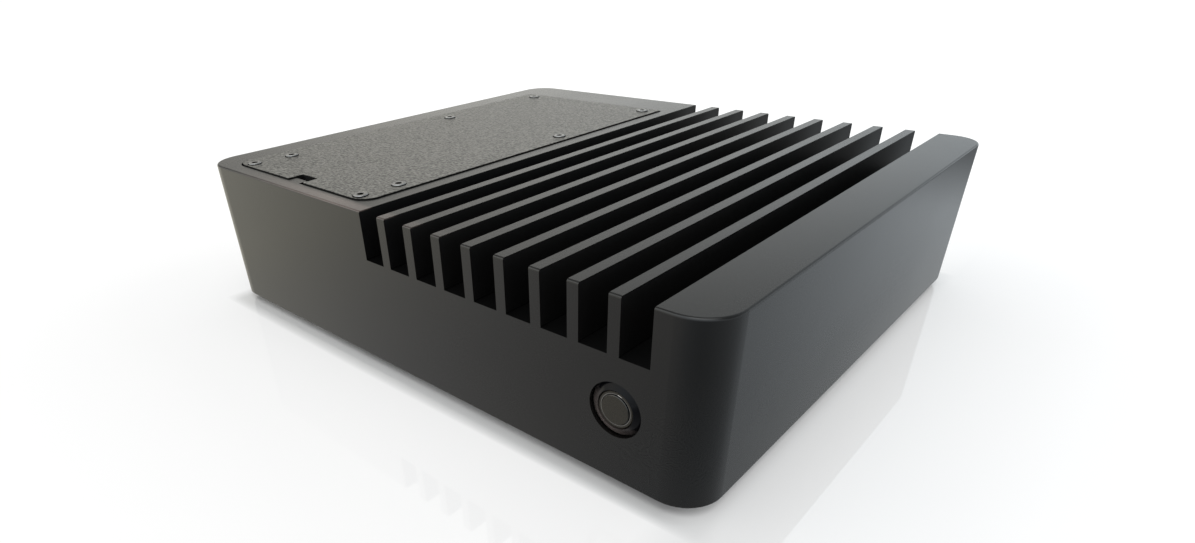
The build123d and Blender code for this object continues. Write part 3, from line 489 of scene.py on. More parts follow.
@dataclass(frozen=True)
class ThinHeads:
    """Four turned screw heads in a rectangle: ringed faces, rims painted lighter as a highlight, and sockets and sides
    painted black as shade.
    """

    name: str
    low: Colour
    high: Colour
    head_radius: float = 0.0028
    face: Colour = (0.25, 0.25, 0.25)
    # lighter rim colour: painted highlight
    rim: Colour = (0.30, 0.30, 0.30)
    socket_radius: float = 0.00128
    rim_from: float = 0.00235
    shade_below: float = 0.00026

    def material(self) -> bpy.types.Material:
        """Build the finish."""
        recipe = Recipe(self.name)
        x, y, z = recipe.axes()
        centre = [(self.low[i] + self.high[i]) / 2 for i in range(2)]
        half = [(self.high[i] - self.low[i]) / 2 - self.head_radius for i in range(2)]
        across = (x - centre[0]).size() - half[0]
        along = (y - centre[1]).size() - half[1]
        radius = (across * across + along * along) ** 0.5
        # painted shade: the sockets and the heads' sides below the top are mixed to matt black
        deep = ((radius < self.socket_radius) + (z < self.high[2] - self.shade_below)).held()
        # painted highlight: the rim takes the lighter colour
        edge = radius > self.rim_from
        ridge = (radius * 16000.0).sine() * 0.5 + 0.5
        smudge = recipe.noise(300.0, 2.0, 0.6)
        return recipe.shaded_surface(
            {
                "Base Color": recipe.blend(edge, self.face, self.rim),
                "Metallic": 1.0,
                "Roughness": ((smudge - 0.5) * 0.15 + ridge * 0.04 + edge * 0.2 + 0.24).held(),
                "Normal": recipe.bump(ridge, 0.000004, 0.6),
            },
            deep,
        )


@dataclass(frozen=True)
class Bezel:
    """Black-plated turned ring with a painted brown sheen towards its lower left."""

    name: str
    centre: Colour
    black: Colour = (0.002, 0.002, 0.003)
    # colour of the painted sheen
    sheen_tint: Colour = (0.085, 0.071, 0.066)
    radius: float = 0.0086
    roughness: float = 0.15

    def material(self) -> bpy.types.Material:
        """Build the finish."""
        recipe = Recipe(self.name)
        x, _, z = recipe.axes()
        across, up = x - self.centre[0], z - self.centre[2]
        turn = (across ** 2.0 + up ** 2.0) ** 0.5
        ridge = (turn * 8000.0 + recipe.noise(300.0, 2.0) * 2.0).sine() * 0.5 + 0.5
        # painted sheen: colour turns brown and lighter towards the lower left
        lean = (across * -0.62 - up * 0.78) / self.radius
        sheen_share = (lean * 0.9 + (recipe.noise(420.0, 2.0) - 0.5) * 0.5 + 0.12).held()
        return recipe.surface(
            {
                "Base Color": recipe.blend(sheen_share, self.black, self.sheen_tint),
                "Roughness": (ridge * 0.04 + sheen_share * 0.2 + self.roughness).held(),
                "IOR": 1.25,
                "Normal": recipe.bump(ridge, 0.000002, 0.5),
            }
        )


@dataclass(frozen=True)
class PressedCap:
    """Black-plated button cap: a warm turned disc, a groove painted black as shade, and a rim with a painted highlight
    and glint on its inner edge.
    """

    name: str
    centre: Colour
    front: float
    face: Colour = (0.016, 0.013, 0.007)
    # colour of the painted highlight on the rim's inner edge
    bright: Colour = (0.20, 0.195, 0.185)
    # colour of the painted glint
    glint: Colour = (0.95, 0.93, 0.90)
    glint_towards: tuple[float, float] = (0.24, 0.97)
    glint_spread: float = 0.991
    # colour of the groove: painted shade
    groove: Colour = (0.001, 0.001, 0.001)
    rim_from: float = 0.00496
    bright_width: float = 0.00026
    groove_from: float = 0.00012
    roughness: float = 0.26

    def material(self) -> bpy.types.Material:
        """Build the finish."""
        recipe = Recipe(self.name)
        x, y, z = recipe.axes()
        across, up = x - self.centre[0], z - self.centre[2]
        radius = (across ** 2.0 + up ** 2.0) ** 0.5
        # painted glint: a near-white spot on the rim's inner edge towards the upper right
        glint = (across * self.glint_towards[0] + up * self.glint_towards[1]) / radius > self.glint_spread
        # painted highlight: a thin lighter, metallic ring on the rim's inner edge
        edge = (radius > self.rim_from) * (radius < self.rim_from + self.bright_width)
        # painted shade: the groove behind the front face is black and not metallic
        deep = (y > self.front + self.groove_from) * (radius < self.rim_from)
        ridge = (radius * 9000.0 + recipe.noise(300.0, 2.0) * 2.0).sine() * 0.5 + 0.5
        smudge = recipe.noise(240.0, 3.0, 0.6)
        plain = recipe.blend(((smudge - 0.3) * 2.0).held(), tuple(part * 0.8 for part in self.face), self.face)
        rim = recipe.blend(edge, plain, recipe.blend(glint, self.bright, self.glint))
        return recipe.surface(
            {
                "Base Color": recipe.blend(deep, rim, self.groove),
                "Metallic": (edge * 0.9 - deep).held(),
                "Roughness": ((smudge - 0.5) * 0.1 + ridge * 0.03 + self.roughness).held(),
                "IOR": 1.5,
                "Normal": recipe.bump(ridge, 0.000002, 0.5),
            }
        )


@dataclass(frozen=True)
class Moulded:
    """Moulded plastic or rubber with a spark-eroded grain."""

    name: str
    colour: Colour
    roughness: float = 0.5
    grain_scale: float = 2600.0
    grain_depth: float = 0.00002

    def material(self) -> bpy.types.Material:
        """Build the finish."""
        recipe = Recipe(self.name)
        grain = recipe.noise(self.grain_scale, 3.0, 0.6)
        patch = recipe.noise(70.0, 2.0)
        pale = tuple(min(1.0, part * 1.35 + 0.002) for part in self.colour)
        return recipe.surface(
            {
                "Base Color": recipe.blend(((patch - 0.35) * 2.0).held(), self.colour, pale),
                "Roughness": ((grain - 0.5) * 0.16 + self.roughness).held(),
                "Normal": recipe.bump(grain, self.grain_depth, 0.7),
            }
        )


@dataclass(frozen=True)
class Laminate:
    """Circuit board: solder mask over copper tracks, with black chips above a height and gold below an edge."""

    name: str
    mask: Colour = (0.008, 0.042, 0.018)
    track: Colour = (0.020, 0.090, 0.036)
    chip: Colour = (0.012, 0.012, 0.013)
    gold: Colour = (0.78, 0.55, 0.20)
    chip_from: float = 1.0
    gold_from: float = 1.0

    def material(self) -> bpy.types.Material:
        """Build the finish."""
        recipe = Recipe(self.name)
        x, y, z = recipe.axes()
        lanes = ((x * 1900.0).sine() > 0.55) * (recipe.cells(90.0, "F1", "Color") > 0.42)
        cross = ((y * 1900.0).sine() > 0.55) * (recipe.cells(70.0, "F1", "Color") > 0.5)
        copper = (lanes + cross).held()
        chips = z > self.chip_from
        contacts = (x > self.gold_from) * ((y * 4200.0).sine() > -0.3)
        board = recipe.blend(copper, self.mask, self.track)
        dressed = recipe.blend(chips, board, self.chip)
        return recipe.surface(
            {
                "Base Color": recipe.blend(contacts, dressed, self.gold),
                "Metallic": contacts * 0.9,
                "Roughness": (chips * 0.2 + recipe.noise(900.0) * 0.12 + 0.28).held(),
                "Normal": recipe.bump(copper, 0.00003, 0.7),
            }
        )


@dataclass(frozen=True)
class Milled:
    """Bare aluminium with the arcs of a face mill."""

    name: str = "bare_aluminium"
    colour: Colour = (0.72, 0.72, 0.73)
    pass_width: float = 0.024
    feed: float = 0.0007

    def material(self) -> bpy.types.Material:
        """Build the finish."""
        recipe = Recipe(self.name)
        x, y, _ = recipe.axes()
        lane = recipe.node("ShaderNodeMath", {"operation": "PINGPONG"}, {0: x, 1: self.pass_width / 2})
        offset = recipe.wire(lane)
        arc = (y + offset * offset * (1.2 / self.pass_width)) * (2.0 * math.pi / self.feed)
        ridge = arc.sine() * 0.5 + 0.5
        return recipe.surface(
            {
                "Base Color": recipe.blend(recipe.noise(40.0), tuple(p * 0.86 for p in self.colour), self.colour),
                "Metallic": 1.0,
                "Roughness": (ridge * 0.08 + 0.24).held(),
                "Normal": recipe.bump(ridge, 0.000008, 0.6),
            }
        )


@dataclass(frozen=True)
class LightPipe:
    """Clear moulded lamp window with a faint tint."""

    name: str
    colour: Colour

    def material(self) -> bpy.types.Material:
        """Build the finish."""
        recipe = Recipe(self.name)
        ripple = recipe.noise(900.0)
        return recipe.surface(
            {
                "Base Color": recipe.blend(ripple, self.colour, tuple(min(1.0, p * 1.2) for p in self.colour)),
                "Roughness": (ripple * 0.15 + 0.12).held(),
                "IOR": 1.49,
                "Coat Weight": 0.4,
            }
        )


class Direction(Enum):
    """Unit directions in the row frame."""

    RIGHT = Vector((1, 0, 0))
    REAR = Vector((0, 1, 0))
    UP = Vector((0, 0, 1))


class Workpiece:
    """One new piece under construction, in millimetres of the row frame."""

    def __init__(self) -> None:
        """Start with an empty mesh."""
        self.mesh = bmesh.new()

    def block(self, low: Sequence[float], high: Sequence[float], edge: float = 0.0, steps: int = 2) -> None:
        """Add a box with rounded edges.

        Args:
            low: lowest corner.
            high: highest corner.
            edge: width of the rounding.
            steps: segments of the rounding.
        """
        size = Vector(high) - Vector(low)
        centre = (Vector(high) + Vector(low)) / 2
        place = Matrix.Translation(centre) @ Matrix.Diagonal((*size, 1.0))
        made = bmesh.ops.create_cube(self.mesh, size=1.0, matrix=place)
        if edge:
            edges = list({e for v in made["verts"] for e in v.link_edges})
            bmesh.ops.bevel(
                self.mesh,
                geom=edges,
                offset=edge,
                offset_type="OFFSET",
                segments=steps,
                profile=0.5,
                affect="EDGES",
                material=-1,
            )

    def turned(
        self, centre: Sequence[float], along: Direction, outline: Sequence[tuple[float, float]], steps: int = 48
    ) -> None:
        """Spin an outline round an axis.

        Args:
            centre: point on the axis.
            along: the axis.
            outline: distance along the axis and radius of each point.
            steps: segments of the turn.
        """
        axis = along.value
        side = axis.orthogonal().normalized()
        origin = Vector(centre)
        verts = [self.mesh.verts.new(origin + axis * far + side * radius) for far, radius in outline]
        edges = [self.mesh.edges.new(pair) for pair in zip(verts, verts[1:])]
        bmesh.ops.spin(
            self.mesh,
            geom=verts + edges,
            cent=origin,
            axis=axis,
            dvec=(0, 0, 0),
            angle=2 * math.pi,
            steps=steps,
            use_merge=True,
            use_normal_flip=False,
            use_duplicate=False,
        )

    def coil(
        self, start: Vector, along: Direction, radius: float, wire: float, length: float, turns: int, sides: int = 12
    ) -> None:
        """Wind a round wire round an axis.

        Args:
            start: point on the axis level with the first turn's middle.
            along: the axis.
            radius: from the axis to the wire's middle.
            wire: the wire's diameter.
            length: how far the last turn's middle is along the axis.
            turns: number of turns.
            sides: sides of the wire's section.
        """
        axis = along.value
        side = axis.orthogonal().normalized()
        middle = start + side * radius
        angles = [2 * math.pi * number / sides for number in range(sides)]
        ring = [self.mesh.verts.new(middle + (side * math.cos(a) + axis * math.sin(a)) * wire / 2) for a in angles]
        edges = [self.mesh.edges.new(pair) for pair in zip(ring, ring[1:] + ring[:1])]
        steps = turns * 40
        bmesh.ops.spin(
            self.mesh,
            geom=ring + edges,
            cent=start,
            axis=axis,
            dvec=axis * (length / steps),
            angle=2 * math.pi * turns,
            steps=steps,
            use_merge=False,
            use_normal_flip=False,
            use_duplicate=False,
        )
        bmesh.ops.holes_fill(self.mesh, edges=[edge for edge in self.mesh.edges if edge.is_boundary], sides=0)

    def strip(self, points: Sequence[Sequence[float]], width: Sequence[float], thick: Sequence[float]) -> None:
        """Extrude a flat strip along points.

        Args:
            points: the middle of the strip, bend by bend.
            width: the strip's width as a vector.
            thick: the strip's thickness as a vector.
        """
        half_width, half_thick = Vector(width) / 2, Vector(thick) / 2
        corners = (-half_width - half_thick, half_width - half_thick, half_width + half_thick, -half_width + half_thick)
        start = Vector(points[0])
        ring = self.mesh.faces.new([self.mesh.verts.new(start + corner) for corner in corners])
        for before, after in zip(points, points[1:]):
            made = bmesh.ops.extrude_face_region(self.mesh, geom=[ring], use_keep_orig=before is points[0])
            moved = [item for item in made["geom"] if isinstance(item, bmesh.types.BMVert)]
            ring = next(item for item in made["geom"] if isinstance(item, bmesh.types.BMFace))
            bmesh.ops.translate(self.mesh, verts=moved, vec=Vector(after) - Vector(before))

    def deliver(self, name: str, material: bpy.types.Material, body: str = FRAME_BODY) -> bpy.types.Object:
        """Turn the piece into an object that rides on a body.

        Args:
            name: the piece's name.
            material: its finish.
            body: the body that carries it.

        Returns:
            The new object, at the origin.
        """
        bmesh.ops.remove_doubles(self.mesh, verts=self.mesh.verts, dist=0.0005)
        bmesh.ops.recalc_face_normals(self.mesh, faces=self.mesh.faces)
        bmesh.ops.scale(self.mesh, verts=self.mesh.verts, vec=(MM, MM, MM))
        data = bpy.data.meshes.new(name)
        self.mesh.to_mesh(data)
        self.mesh.free()
        data.shade_smooth()
        data.set_sharp_from_angle(angle=math.radians(35))
        piece = bpy.data.objects.new(name, data)
        bpy.context.scene.collection.objects.link(piece)
        data.materials.append(material)
        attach(piece, body)
        log.info("%s: %d faces on %s", name, len(data.polygons), body)
        return piece


def corner_mm(node: str) -> tuple[Vector, Vector]:
    """Lowest and highest corner of a CAD node.

    Args:
        node: the node's name.

    Returns:
        Both corners, in millimetres of the row frame.
    """
    low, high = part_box(node)
    return Vector(low) / MM, Vector(high) / MM


class Paintwork:
    """Builds each finish once and gives it to the CAD nodes."""

    def __init__(self) -> None:
        """Start with no finish built."""
        self.built: dict[str, bpy.types.Material] = {}

    def get(self, finish: object) -> bpy.types.Material:
        """Material of a finish, built on first use."""
        if finish.name not in self.built:
            self.built[finish.name] = finish.material()
        return self.built[finish.name]

    def dress(self, finish: object, nodes: Iterable[str]) -> None:
        """Give CAD nodes a finish.

        Args:
            finish: the finish.
            nodes: names of the nodes.
        """
        material = self.get(finish)
        for node in nodes:
            piece = frame["nodes"][node]
            for slot in piece.material_slots:
                slot.material = material
            if not piece.material_slots:
                piece.data.materials.append(material)
            log.info("%s finished as %s", node, finish.name)


BLACK_STEEL = Turned("black_screws", (0.075, 0.074, 0.072), metallic=0.75, roughness=0.34)
ZINC = Turned("plated_screws", (0.62, 0.62, 0.64), roughness=0.28)
GOLD = Turned("contact_gold", (0.80, 0.58, 0.24), roughness=0.22)
SHELL = Turned("socket_shell", (0.66, 0.66, 0.67), roughness=0.24)
BLACK_PLASTIC = Moulded("socket_plastic", (0.014, 0.014, 0.015), roughness=0.42)


@dataclass
class Enclosure:
    """Chassis, base plate, feet and the screws that close the case."""

    metal: Anodised = field(default_factory=Anodised)
    rubber: Moulded = Moulded("rubber_feet", (0.016, 0.016, 0.016), roughness=0.72)

    def build(self, paint: Paintwork) -> None:
        """Dress the enclosure.

        Args:
            paint: the finishes.
        """
        paint.dress(self.metal, ("chassis", "base_plate", "rear_panel"))
        paint.dress(BLACK_STEEL, ("base_screws", "rear_panel_screws"))
        feet = [f"foot_{end}_{side}" for end in ("front", "rear") for side in ("left", "right")]
        paint.dress(self.rubber, (*feet, "button_seal"))


@dataclass
class AccessBay:
    """Access cover, its screws, and the drive that hangs under it."""

    coat: Crinkle = field(default_factory=Crinkle)
    sheet: Turned = Turned("steel_sheet", (0.58, 0.58, 0.59), roughness=0.33)
    case: Turned = Turned("drive_case", (0.34, 0.35, 0.37), roughness=0.42)

    def build(self, paint: Paintwork) -> None:
        """Dress the bay.

        Args:
            paint: the finishes.
        """
        paint.dress(self.coat, ("access_cover",))
        for group in ("cover_screws", "tray_screws"):
            low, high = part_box(group)
            paint.dress(ThinHeads(f"{group}_steel", tuple(low), tuple(high)), (group,))
        paint.dress(self.sheet, ("drive_tray",))
        paint.dress(self.case, ("storage_drive",))
        paint.dress(ZINC, ("drive_screws",))


@dataclass
class PowerButton:
    """Bezel, cap and works of the push button in the front wall."""

    wire_steel: Turned = Turned("spring_steel", (0.6, 0.6, 0.62), roughness=0.26)
    wire_diameter: float = 0.7
    spring_turns: int = 4
    joint: str = "button_press"

    def build(self, paint: Paintwork) -> None:
        """Dress the button.

        Args:
            paint: the finishes.
        """
        low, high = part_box("button_housing")
        centre = tuple((low[i] + high[i]) / 2 for i in range(3))
        paint.dress(Bezel("black_bezel", centre), ("button_housing",))
        paint.dress(PressedCap("black_button", centre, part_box("button_cap")[0][1]), ("button_cap",))
        paint.dress(ZINC, ("button_nut",))
        paint.dress(BLACK_PLASTIC, ("button_contacts",))
        paint.dress(self.wire_steel, ("button_spring",))
        self._spring(paint)

    def _spring(self, paint: Paintwork) -> None:
        """Return spring wound from round wire in place of the CAD spring.

        Args:
            paint: the finishes.
        """
        low, high = corner_mm("button_spring")
        middle = (low + high) / 2
        joints = frame["record"]["behaviour"]["joints"]
        stroke = next(joint["range_m"][1] for joint in joints if joint["name"] == self.joint) / MM
        work = Workpiece()
        start = Vector((middle.x, low.y + self.wire_diameter / 2, middle.z))
        radius = (high.x - low.x - self.wire_diameter) / 2
        length = high.y - low.y - self.wire_diameter
        work.coil(start, Direction.REAR, radius, self.wire_diameter, length, self.spring_turns)
        spring = work.deliver("return_spring", paint.get(self.wire_steel))
        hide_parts("button_spring")
        1.0 - stroke / (high.y - low.y)
        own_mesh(spring)


@dataclass
class RearSockets:
    """Sockets in the rear panel, with the contacts and lamps that the solids leave out."""

    contact_count: int = 8
    contact_pitch: float = 1.02
    contact_width: float = 0.46
    mouth_half_height: float = 3.5
    tongue_contacts: int = 4
    lamp_size: tuple[float, float] = (2.6, 1.5)

    def build(self, paint: Paintwork) -> None:
        """Dress the sockets and add their contacts.

        Args:
            paint: the finishes.
        """
        shells = ("usb_socket_left", "usb_socket_right", "network_socket_left", "network_socket_right")
        paint.dress(SHELL, (*shells, "display_socket_left", "display_socket_right"))
        paint.dress(BLACK_PLASTIC, ("power_inlet", "audio_socket"))
        for side in ("left", "right"):
            self._network_contacts(paint, side)
            self._network_lamps(paint, side)
            self._usb_contacts(paint, side)
        self._audio_ring(paint)

    def _network_contacts(self, paint: Paintwork, side: str) -> None:
        """Eight spring contacts that slope down from the mouth's roof.

        Args:
            paint: the finishes.
            side: which socket.
        """
        low, high = corner_mm(f"network_socket_{side}")
        centre_x, roof = (low.x + high.x) / 2, (low.z + high.z) / 2 + self.mouth_half_height
        work = Workpiece()
        for number in range(self.contact_count):
            x = centre_x + (number - (self.contact_count - 1) / 2) * self.contact_pitch
            points = (
                (x, high.y - 2.2, roof - 0.25),
                (x, high.y - 3.0, roof - 0.35),
                (x, high.y - 9.2, roof - 2.6),
                (x, high.y - 10.2, roof - 2.4),
                (x, high.y - 12.2, roof - 1.3),
            )
            work.strip(points, (self.contact_width, 0, 0), (0, 0.02, 0.28))
        work.deliver(f"network_contacts_{side}", paint.get(GOLD))

    def _network_lamps(self, paint: Paintwork, side: str) -> None:
        """Two lamp windows over the mouth.

        Args:
            paint: the finishes.
            side: which socket.
        """
        low, high = corner_mm(f"network_socket_{side}")
        width, height = self.lamp_size
        for name, x in (("link", low.x + 1.2), ("activity", high.x - 1.2 - width)):
            tint = (0.35, 0.42, 0.30) if name == "link" else (0.46, 0.36, 0.18)
            work = Workpiece()
            work.block((x, high.y - 1.0, high.z - 1.0 - height), (x + width, high.y + 0.12, high.z - 1.0), 0.2)
            work.deliver(f"{name}_lamp_{side}", paint.get(LightPipe(f"{name}_lamp", tint)))

    def _usb_contacts(self, paint: Paintwork, side: str) -> None:
        """Contacts under the two tongues.

        Args:
            paint: the finishes.
            side: which socket.
        """
        low, high = corner_mm(f"usb_socket_{side}")
        centre_x, centre_z = (low.x + high.x) / 2, (low.z + high.z) / 2
        work = Workpiece()
        for tongue in (-3.9, 3.9):
            under = centre_z + tongue + 0.4
            for number in range(self.tongue_contacts):
                x = centre_x + (number - (self.tongue_contacts - 1) / 2) * 2.4
                work.block((x - 0.5, high.y - 7.6, under - 0.10), (x + 0.5, high.y - 1.3, under + 0.02), 0.04, 1)
        work.deliver(f"usb_contacts_{side}", paint.get(GOLD))

    def _audio_ring(self, paint: Paintwork) -> None:
        """Thin plated ring in the audio socket's mouth.

        Args:
            paint: the finishes.
        """
        low, high = corner_mm("audio_socket")
        centre = ((low.x + high.x) / 2, high.y, (low.z + high.z) / 2)
        work = Workpiece()
        outline = ((0.0, 1.95), (0.25, 2.05), (0.3, 2.4), (0.25, 2.75), (0.0, 2.85), (0.0, 1.95))
        work.turned(centre, Direction.REAR, outline)
        work.deliver("audio_ring", paint.get(ZINC))


@dataclass
class Electronics:
    """Board, modules and the heat path inside the chassis."""

    seed: int = 7
    small_part_rows: int = 11

    def build(self, paint: Paintwork) -> None:
        """Dress the inner pieces and add the board's small parts.

        Args:
            paint: the finishes.
        """
        board_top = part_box("motherboard")[1][2]
        paint.dress(Laminate("board_laminate"), ("motherboard",))
        for end in ("front", "rear"):
            low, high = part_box(f"memory_module_{end}")
            finish = Laminate(f"memory_{end}", chip_from=low[2] + 1.05 * MM, gold_from=high[0] - 2.6 * MM)
            paint.dress(finish, (f"memory_module_{end}",))
        low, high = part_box("solid_state_module")
        paint.dress(Laminate("module_laminate", chip_from=low[2] + 0.85 * MM), ("solid_state_module",))
        package = Laminate("chip_package", (0.01, 0.03, 0.02), (0.01, 0.035, 0.02), (0.32, 0.34, 0.37),
                           chip_from=board_top + 1.25 * MM)
        paint.dress(package, ("processor",))
        paint.dress(BLACK_PLASTIC, ("memory_socket_front", "memory_socket_rear", "module_socket", "cell_holder",
                                    "storage_port", "panel_header"))
        paint.dress(Turned("brass_pillars", (0.70, 0.50, 0.20), roughness=0.26), ("board_standoffs", "module_pillar"))
        paint.dress(ZINC, ("board_screws", "heat_block_screws", "module_screw"))
        paint.dress(Milled(), ("heat_block",))
        paint.dress(Moulded("thermal_pad", (0.36, 0.42, 0.50), 0.8), ("thermal_pad_lower", "thermal_pad_upper"))
        paint.dress(Turned("cell_steel", (0.68, 0.68, 0.68), roughness=0.3), ("coin_cell",))
        paint.dress(Turned("capacitor_can", (0.66, 0.66, 0.68), roughness=0.34), ("capacitors",))
        paint.dress(Moulded("coil_ferrite", (0.07, 0.07, 0.075), 0.6), ("coils",))
        self._small_parts(paint)

    def _small_parts(self, paint: Paintwork) -> None:
        """Rows of chip resistors and capacitors beside the heat block.

        Args:
            paint: the finishes.
        """
        dice = random.Random(self.seed)
        block_low, block_high = corner_mm("heat_block")
        floor = corner_mm("motherboard")[1].z
        work = Workpiece()
        for row in range(self.small_part_rows):
            y = block_low.y + 4.0 + row * 4.4
            for x in (block_low.x - 9.0, block_low.x - 5.0):
                length = dice.choice((1.6, 2.0))
                work.block((x, y, floor), (x + length, y + length / 2, floor + 0.6), 0.08, 1)
        work.deliver("chip_parts", paint.get(Moulded("ceramic_parts", (0.30, 0.22, 0.15), 0.4)))


@dataclass
class Studio:
    """Pale floor, white surroundings, soft lamps and the camera of the reference view."""

    eye: tuple[float, float, float] = (0.191208, -0.242856, 0.138047)
    aim: tuple[float, float, float] = (0.078017, -0.124464, 0.032235)
    roll_degrees: float = -2.359
    sensor_mm: float = 36.0
    focal_px: float = 690.413
    centre_px: tuple[float, float] = (529.780, 393.029)
    floor_size: float = 9.0
    shadow_share: float = 0.28
    contact_width: float = 0.0082
    shade_width: float = 0.07
    mirror_share: float = 0.14
    # spot where the painted shadow in the floor's glow is darkest
    painted_shadow_spot: tuple[float, float] = (0.19, -0.19)

    def build(self) -> None:
        """Set up everything round the object."""
        self._camera()
        self._floor()
        self._surroundings()
        self._lamps()

    def _camera(self) -> None:
        """Camera with the fitted place, roll, focal length and centre of projection."""
        data = bpy.data.cameras.new("camera")
        camera = bpy.data.objects.new("camera", data)
        bpy.context.scene.collection.objects.link(camera)
        data.sensor_fit = "HORIZONTAL"
        data.sensor_width = self.sensor_mm
        data.lens = self.focal_px / IMAGE_WIDTH * self.sensor_mm
        data.shift_x = (IMAGE_WIDTH / 2 - self.centre_px[0]) / IMAGE_WIDTH
        data.shift_y = (self.centre_px[1] - IMAGE_HEIGHT / 2) / IMAGE_WIDTH
        data.clip_start, data.clip_end = 0.01, 50.0
        level_view = (Vector(self.aim) - Vector(self.eye)).to_track_quat("-Z", "Y")
        camera.rotation_mode = "QUATERNION"
        camera.rotation_quaternion = level_view @ Quaternion((0, 0, 1), math.radians(self.roll_degrees))
        camera.location = self.eye
        bpy.context.scene.camera = camera
        log.info("camera: lens %.2f mm, shift %.4f, %.4f", data.lens, data.shift_x, data.shift_y)

    def _floor(self) -> None:
        """Glossy white floor that keeps the object's shadow and a faint reflection."""
        mesh = bmesh.new()
        bmesh.ops.create_grid(mesh, x_segments=1, y_segments=1, size=self.floor_size)
        data = bpy.data.meshes.new("floor")
        mesh.to_mesh(data)
        mesh.free()
        floor = bpy.data.objects.new("floor", data)
        bpy.context.scene.collection.objects.link(floor)
        data.materials.append(self._floor_finish())

    def _floor_finish(self) -> bpy.types.Material:
        """Polished white board: white to the eye, with the object's shadow and a mirrored share; in reflections it is a
        painted glow.

        Returns:
            The floor's material.
        """
        recipe = Recipe("floor")
        x, y, _ = recipe.axes()
        path = recipe.node("ShaderNodeLightPath")
        # painted shadow in the glow that reflections see: it dims towards one spot in front and behind the object
        reach = ((x - self.painted_shadow_spot[0]) ** 2.0 + (y - self.painted_shadow_spot[1]) ** 2.0) ** 0.5
        rear = ((y - 0.22) * 8.0).held()
        level = ((reach * 2.6).held() * 0.48 + reach.held() * 0.66 + 0.26) * (1.0 - rear * 0.65)
        away = self._from_footprint(recipe, x, y)
        width = (x + 0.02).held() * -0.016 + self.contact_width
        end = ((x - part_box("chassis")[0][0]) * 120.0 + 0.3).held()
        near = (1.0 - (away / width) ** 2.0).held() * end
        broad = (1.0 - away / self.shade_width).held()
        flank = ((x - 0.115) * 60.0).held()
        # painted reflection tint: the glow is cooler at the far right and warmer at the left
        plain = recipe.blend(((0.15 - x) * 12.0).held(), (0.78, 0.84, 0.88), (1.02, 1.01, 0.98))
        tint = recipe.blend(((-0.01 - x) * 6.0).held(), plain, (1.03, 1.00, 0.86))
        outside = ((away - 0.05) * 7.0).held()
        white = recipe.node("ShaderNodeEmission", None, {"Color": recipe.scaled((1.0, 1.0, 1.0), outside * 0.14 + 1.08)})
        board = recipe.node("ShaderNodeBsdfDiffuse", None, {"Color": (0.92, 0.92, 0.92)})
        polish = recipe.node("ShaderNodeBsdfGlossy", None, {"Color": (1.0, 1.0, 1.0), "Roughness": 0.03})
        glow = recipe.node("ShaderNodeEmission", None, {"Color": recipe.scaled(tint, level)})
        left = ((0.05 - x) * 6.0).held()
        kept = broad * (flank * 0.30 + left * 0.16 + 0.03) + near * (0.62 - flank * 0.58) + self.shadow_share
        mirror = near * (0.26 - flank * 0.25) + broad * flank * 0.10 + self.mirror_share
        shown = recipe.shade(mirror, recipe.shade(kept, white, board), polish)
        lit = recipe.shade(recipe.wire(path, "Is Camera Ray"), board, shown)
        return recipe.end(recipe.shade(recipe.wire(path, "Is Glossy Ray"), lit, glow))

    @staticmethod
    def _from_footprint(recipe: Recipe, x: Wire, y: Wire) -> Wire:
        """Distance of a place on the floor from the chassis's plan.

        Args:
            recipe: the floor's material.
            x: the place's x.
            y: the place's y.

        Returns:
            The distance, in metres, and 0 under the chassis.
        """
        low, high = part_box("chassis")
        across = (x.size() - (high[0] - low[0]) / 2.0).above_zero()
        along = (y.size() - (high[1] - low[1]) / 2.0).above_zero()
        return (across * across + along * along) ** 0.5

    @staticmethod
    def _surroundings() -> None:
        """World that is white to the eye, a pale room in reflections, and softer as a light."""
        world = bpy.data.worlds.new("studio")
        bpy.context.scene.world = world
        recipe = Recipe("studio", world)
        x, y, z = recipe.axes()
        path = recipe.node("ShaderNodeLightPath")
        low = (1.0 - z * 2.5).held()
        behind = ((y - 0.30) * 2.4).held() * 0.5 + 0.5
        over = ((-0.1 - y) * 3.0).held() * (z * 2.0).held() * 1.5
        hue = recipe.blend((x * -1.6 - 0.25).held(), (0.84, 0.91, 0.95), (1.06, 1.04, 0.97))
        bright = recipe.node("ShaderNodeBackground", None, {"Color": (1.0, 1.0, 1.0), "Strength": 1.0})
        pale = recipe.scaled(hue, (low * 0.92 + 0.62) * behind + over)
        room = recipe.node("ShaderNodeBackground", None, {"Color": pale})
        soft = recipe.node("ShaderNodeBackground", None, {"Color": (0.97, 0.99, 1.0), "Strength": 1.0})
        lit = recipe.shade(recipe.wire(path, "Is Glossy Ray"), soft, room)
        seen = (recipe.wire(path, "Is Camera Ray") + recipe.wire(path, "Is Transmission Ray")).held()
        recipe.end(recipe.shade(seen, lit, bright))

    @staticmethod
    def _lamp(name: str, place: Colour, aim: Colour, size: float, watts: float, tint: Colour) -> None:
        """Add one square soft lamp.

        Args:
            name: the lamp's name.
            place: where it hangs.
            aim: the point it faces.
            size: its side, in metres.
            watts: its power.
            tint: its colour.
        """
        data = bpy.data.lights.new(name, "AREA")
        data.shape = "SQUARE"
        data.size = size
        data.energy = watts
        data.color = tint
        lamp = bpy.data.objects.new(name, data)
        lamp.location = place
        lamp.rotation_mode = "QUATERNION"
        lamp.rotation_quaternion = (Vector(aim) - Vector(place)).to_track_quat("-Z", "Y")
        bpy.context.scene.collection.objects.link(lamp)

    def _lamps(self) -> None:
        """Large soft lamp overhead and a weaker one at the left."""
        self._lamp("overhead", (0.5, -0.5, 2.2), (0.0, 0.0, 0.0), 1.6, 12.0, (1.0, 0.99, 0.97))
        self._lamp("left", (-1.6, -1.2, 1.2), (0.0, 0.0, 0.02), 1.0, 2.0, (1.0, 0.96, 0.9))


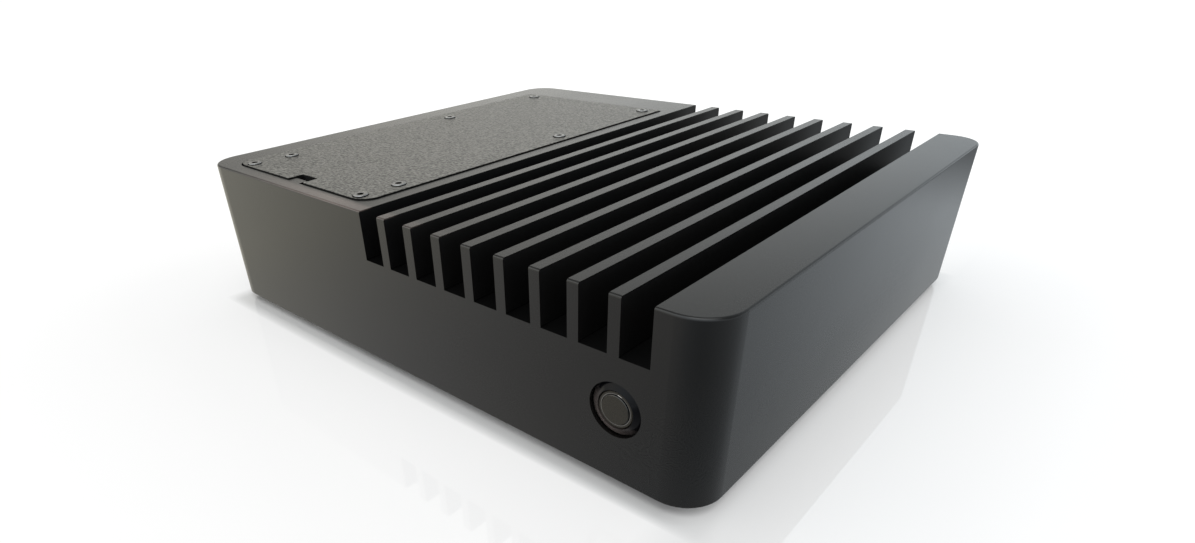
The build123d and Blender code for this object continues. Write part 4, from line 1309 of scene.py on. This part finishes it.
def main() -> None:
    """Build the scene piece by piece."""
    bpy.context.scene.view_settings.view_transform = "Standard"
    paint = Paintwork()
    for assembly in (Enclosure(), AccessBay(), PowerButton(), RearSockets(), Electronics()):
        log.info("building %s", type(assembly).__name__)
        assembly.build(paint)
    Studio().build()
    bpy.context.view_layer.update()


if __name__ == "__main__":
    main()
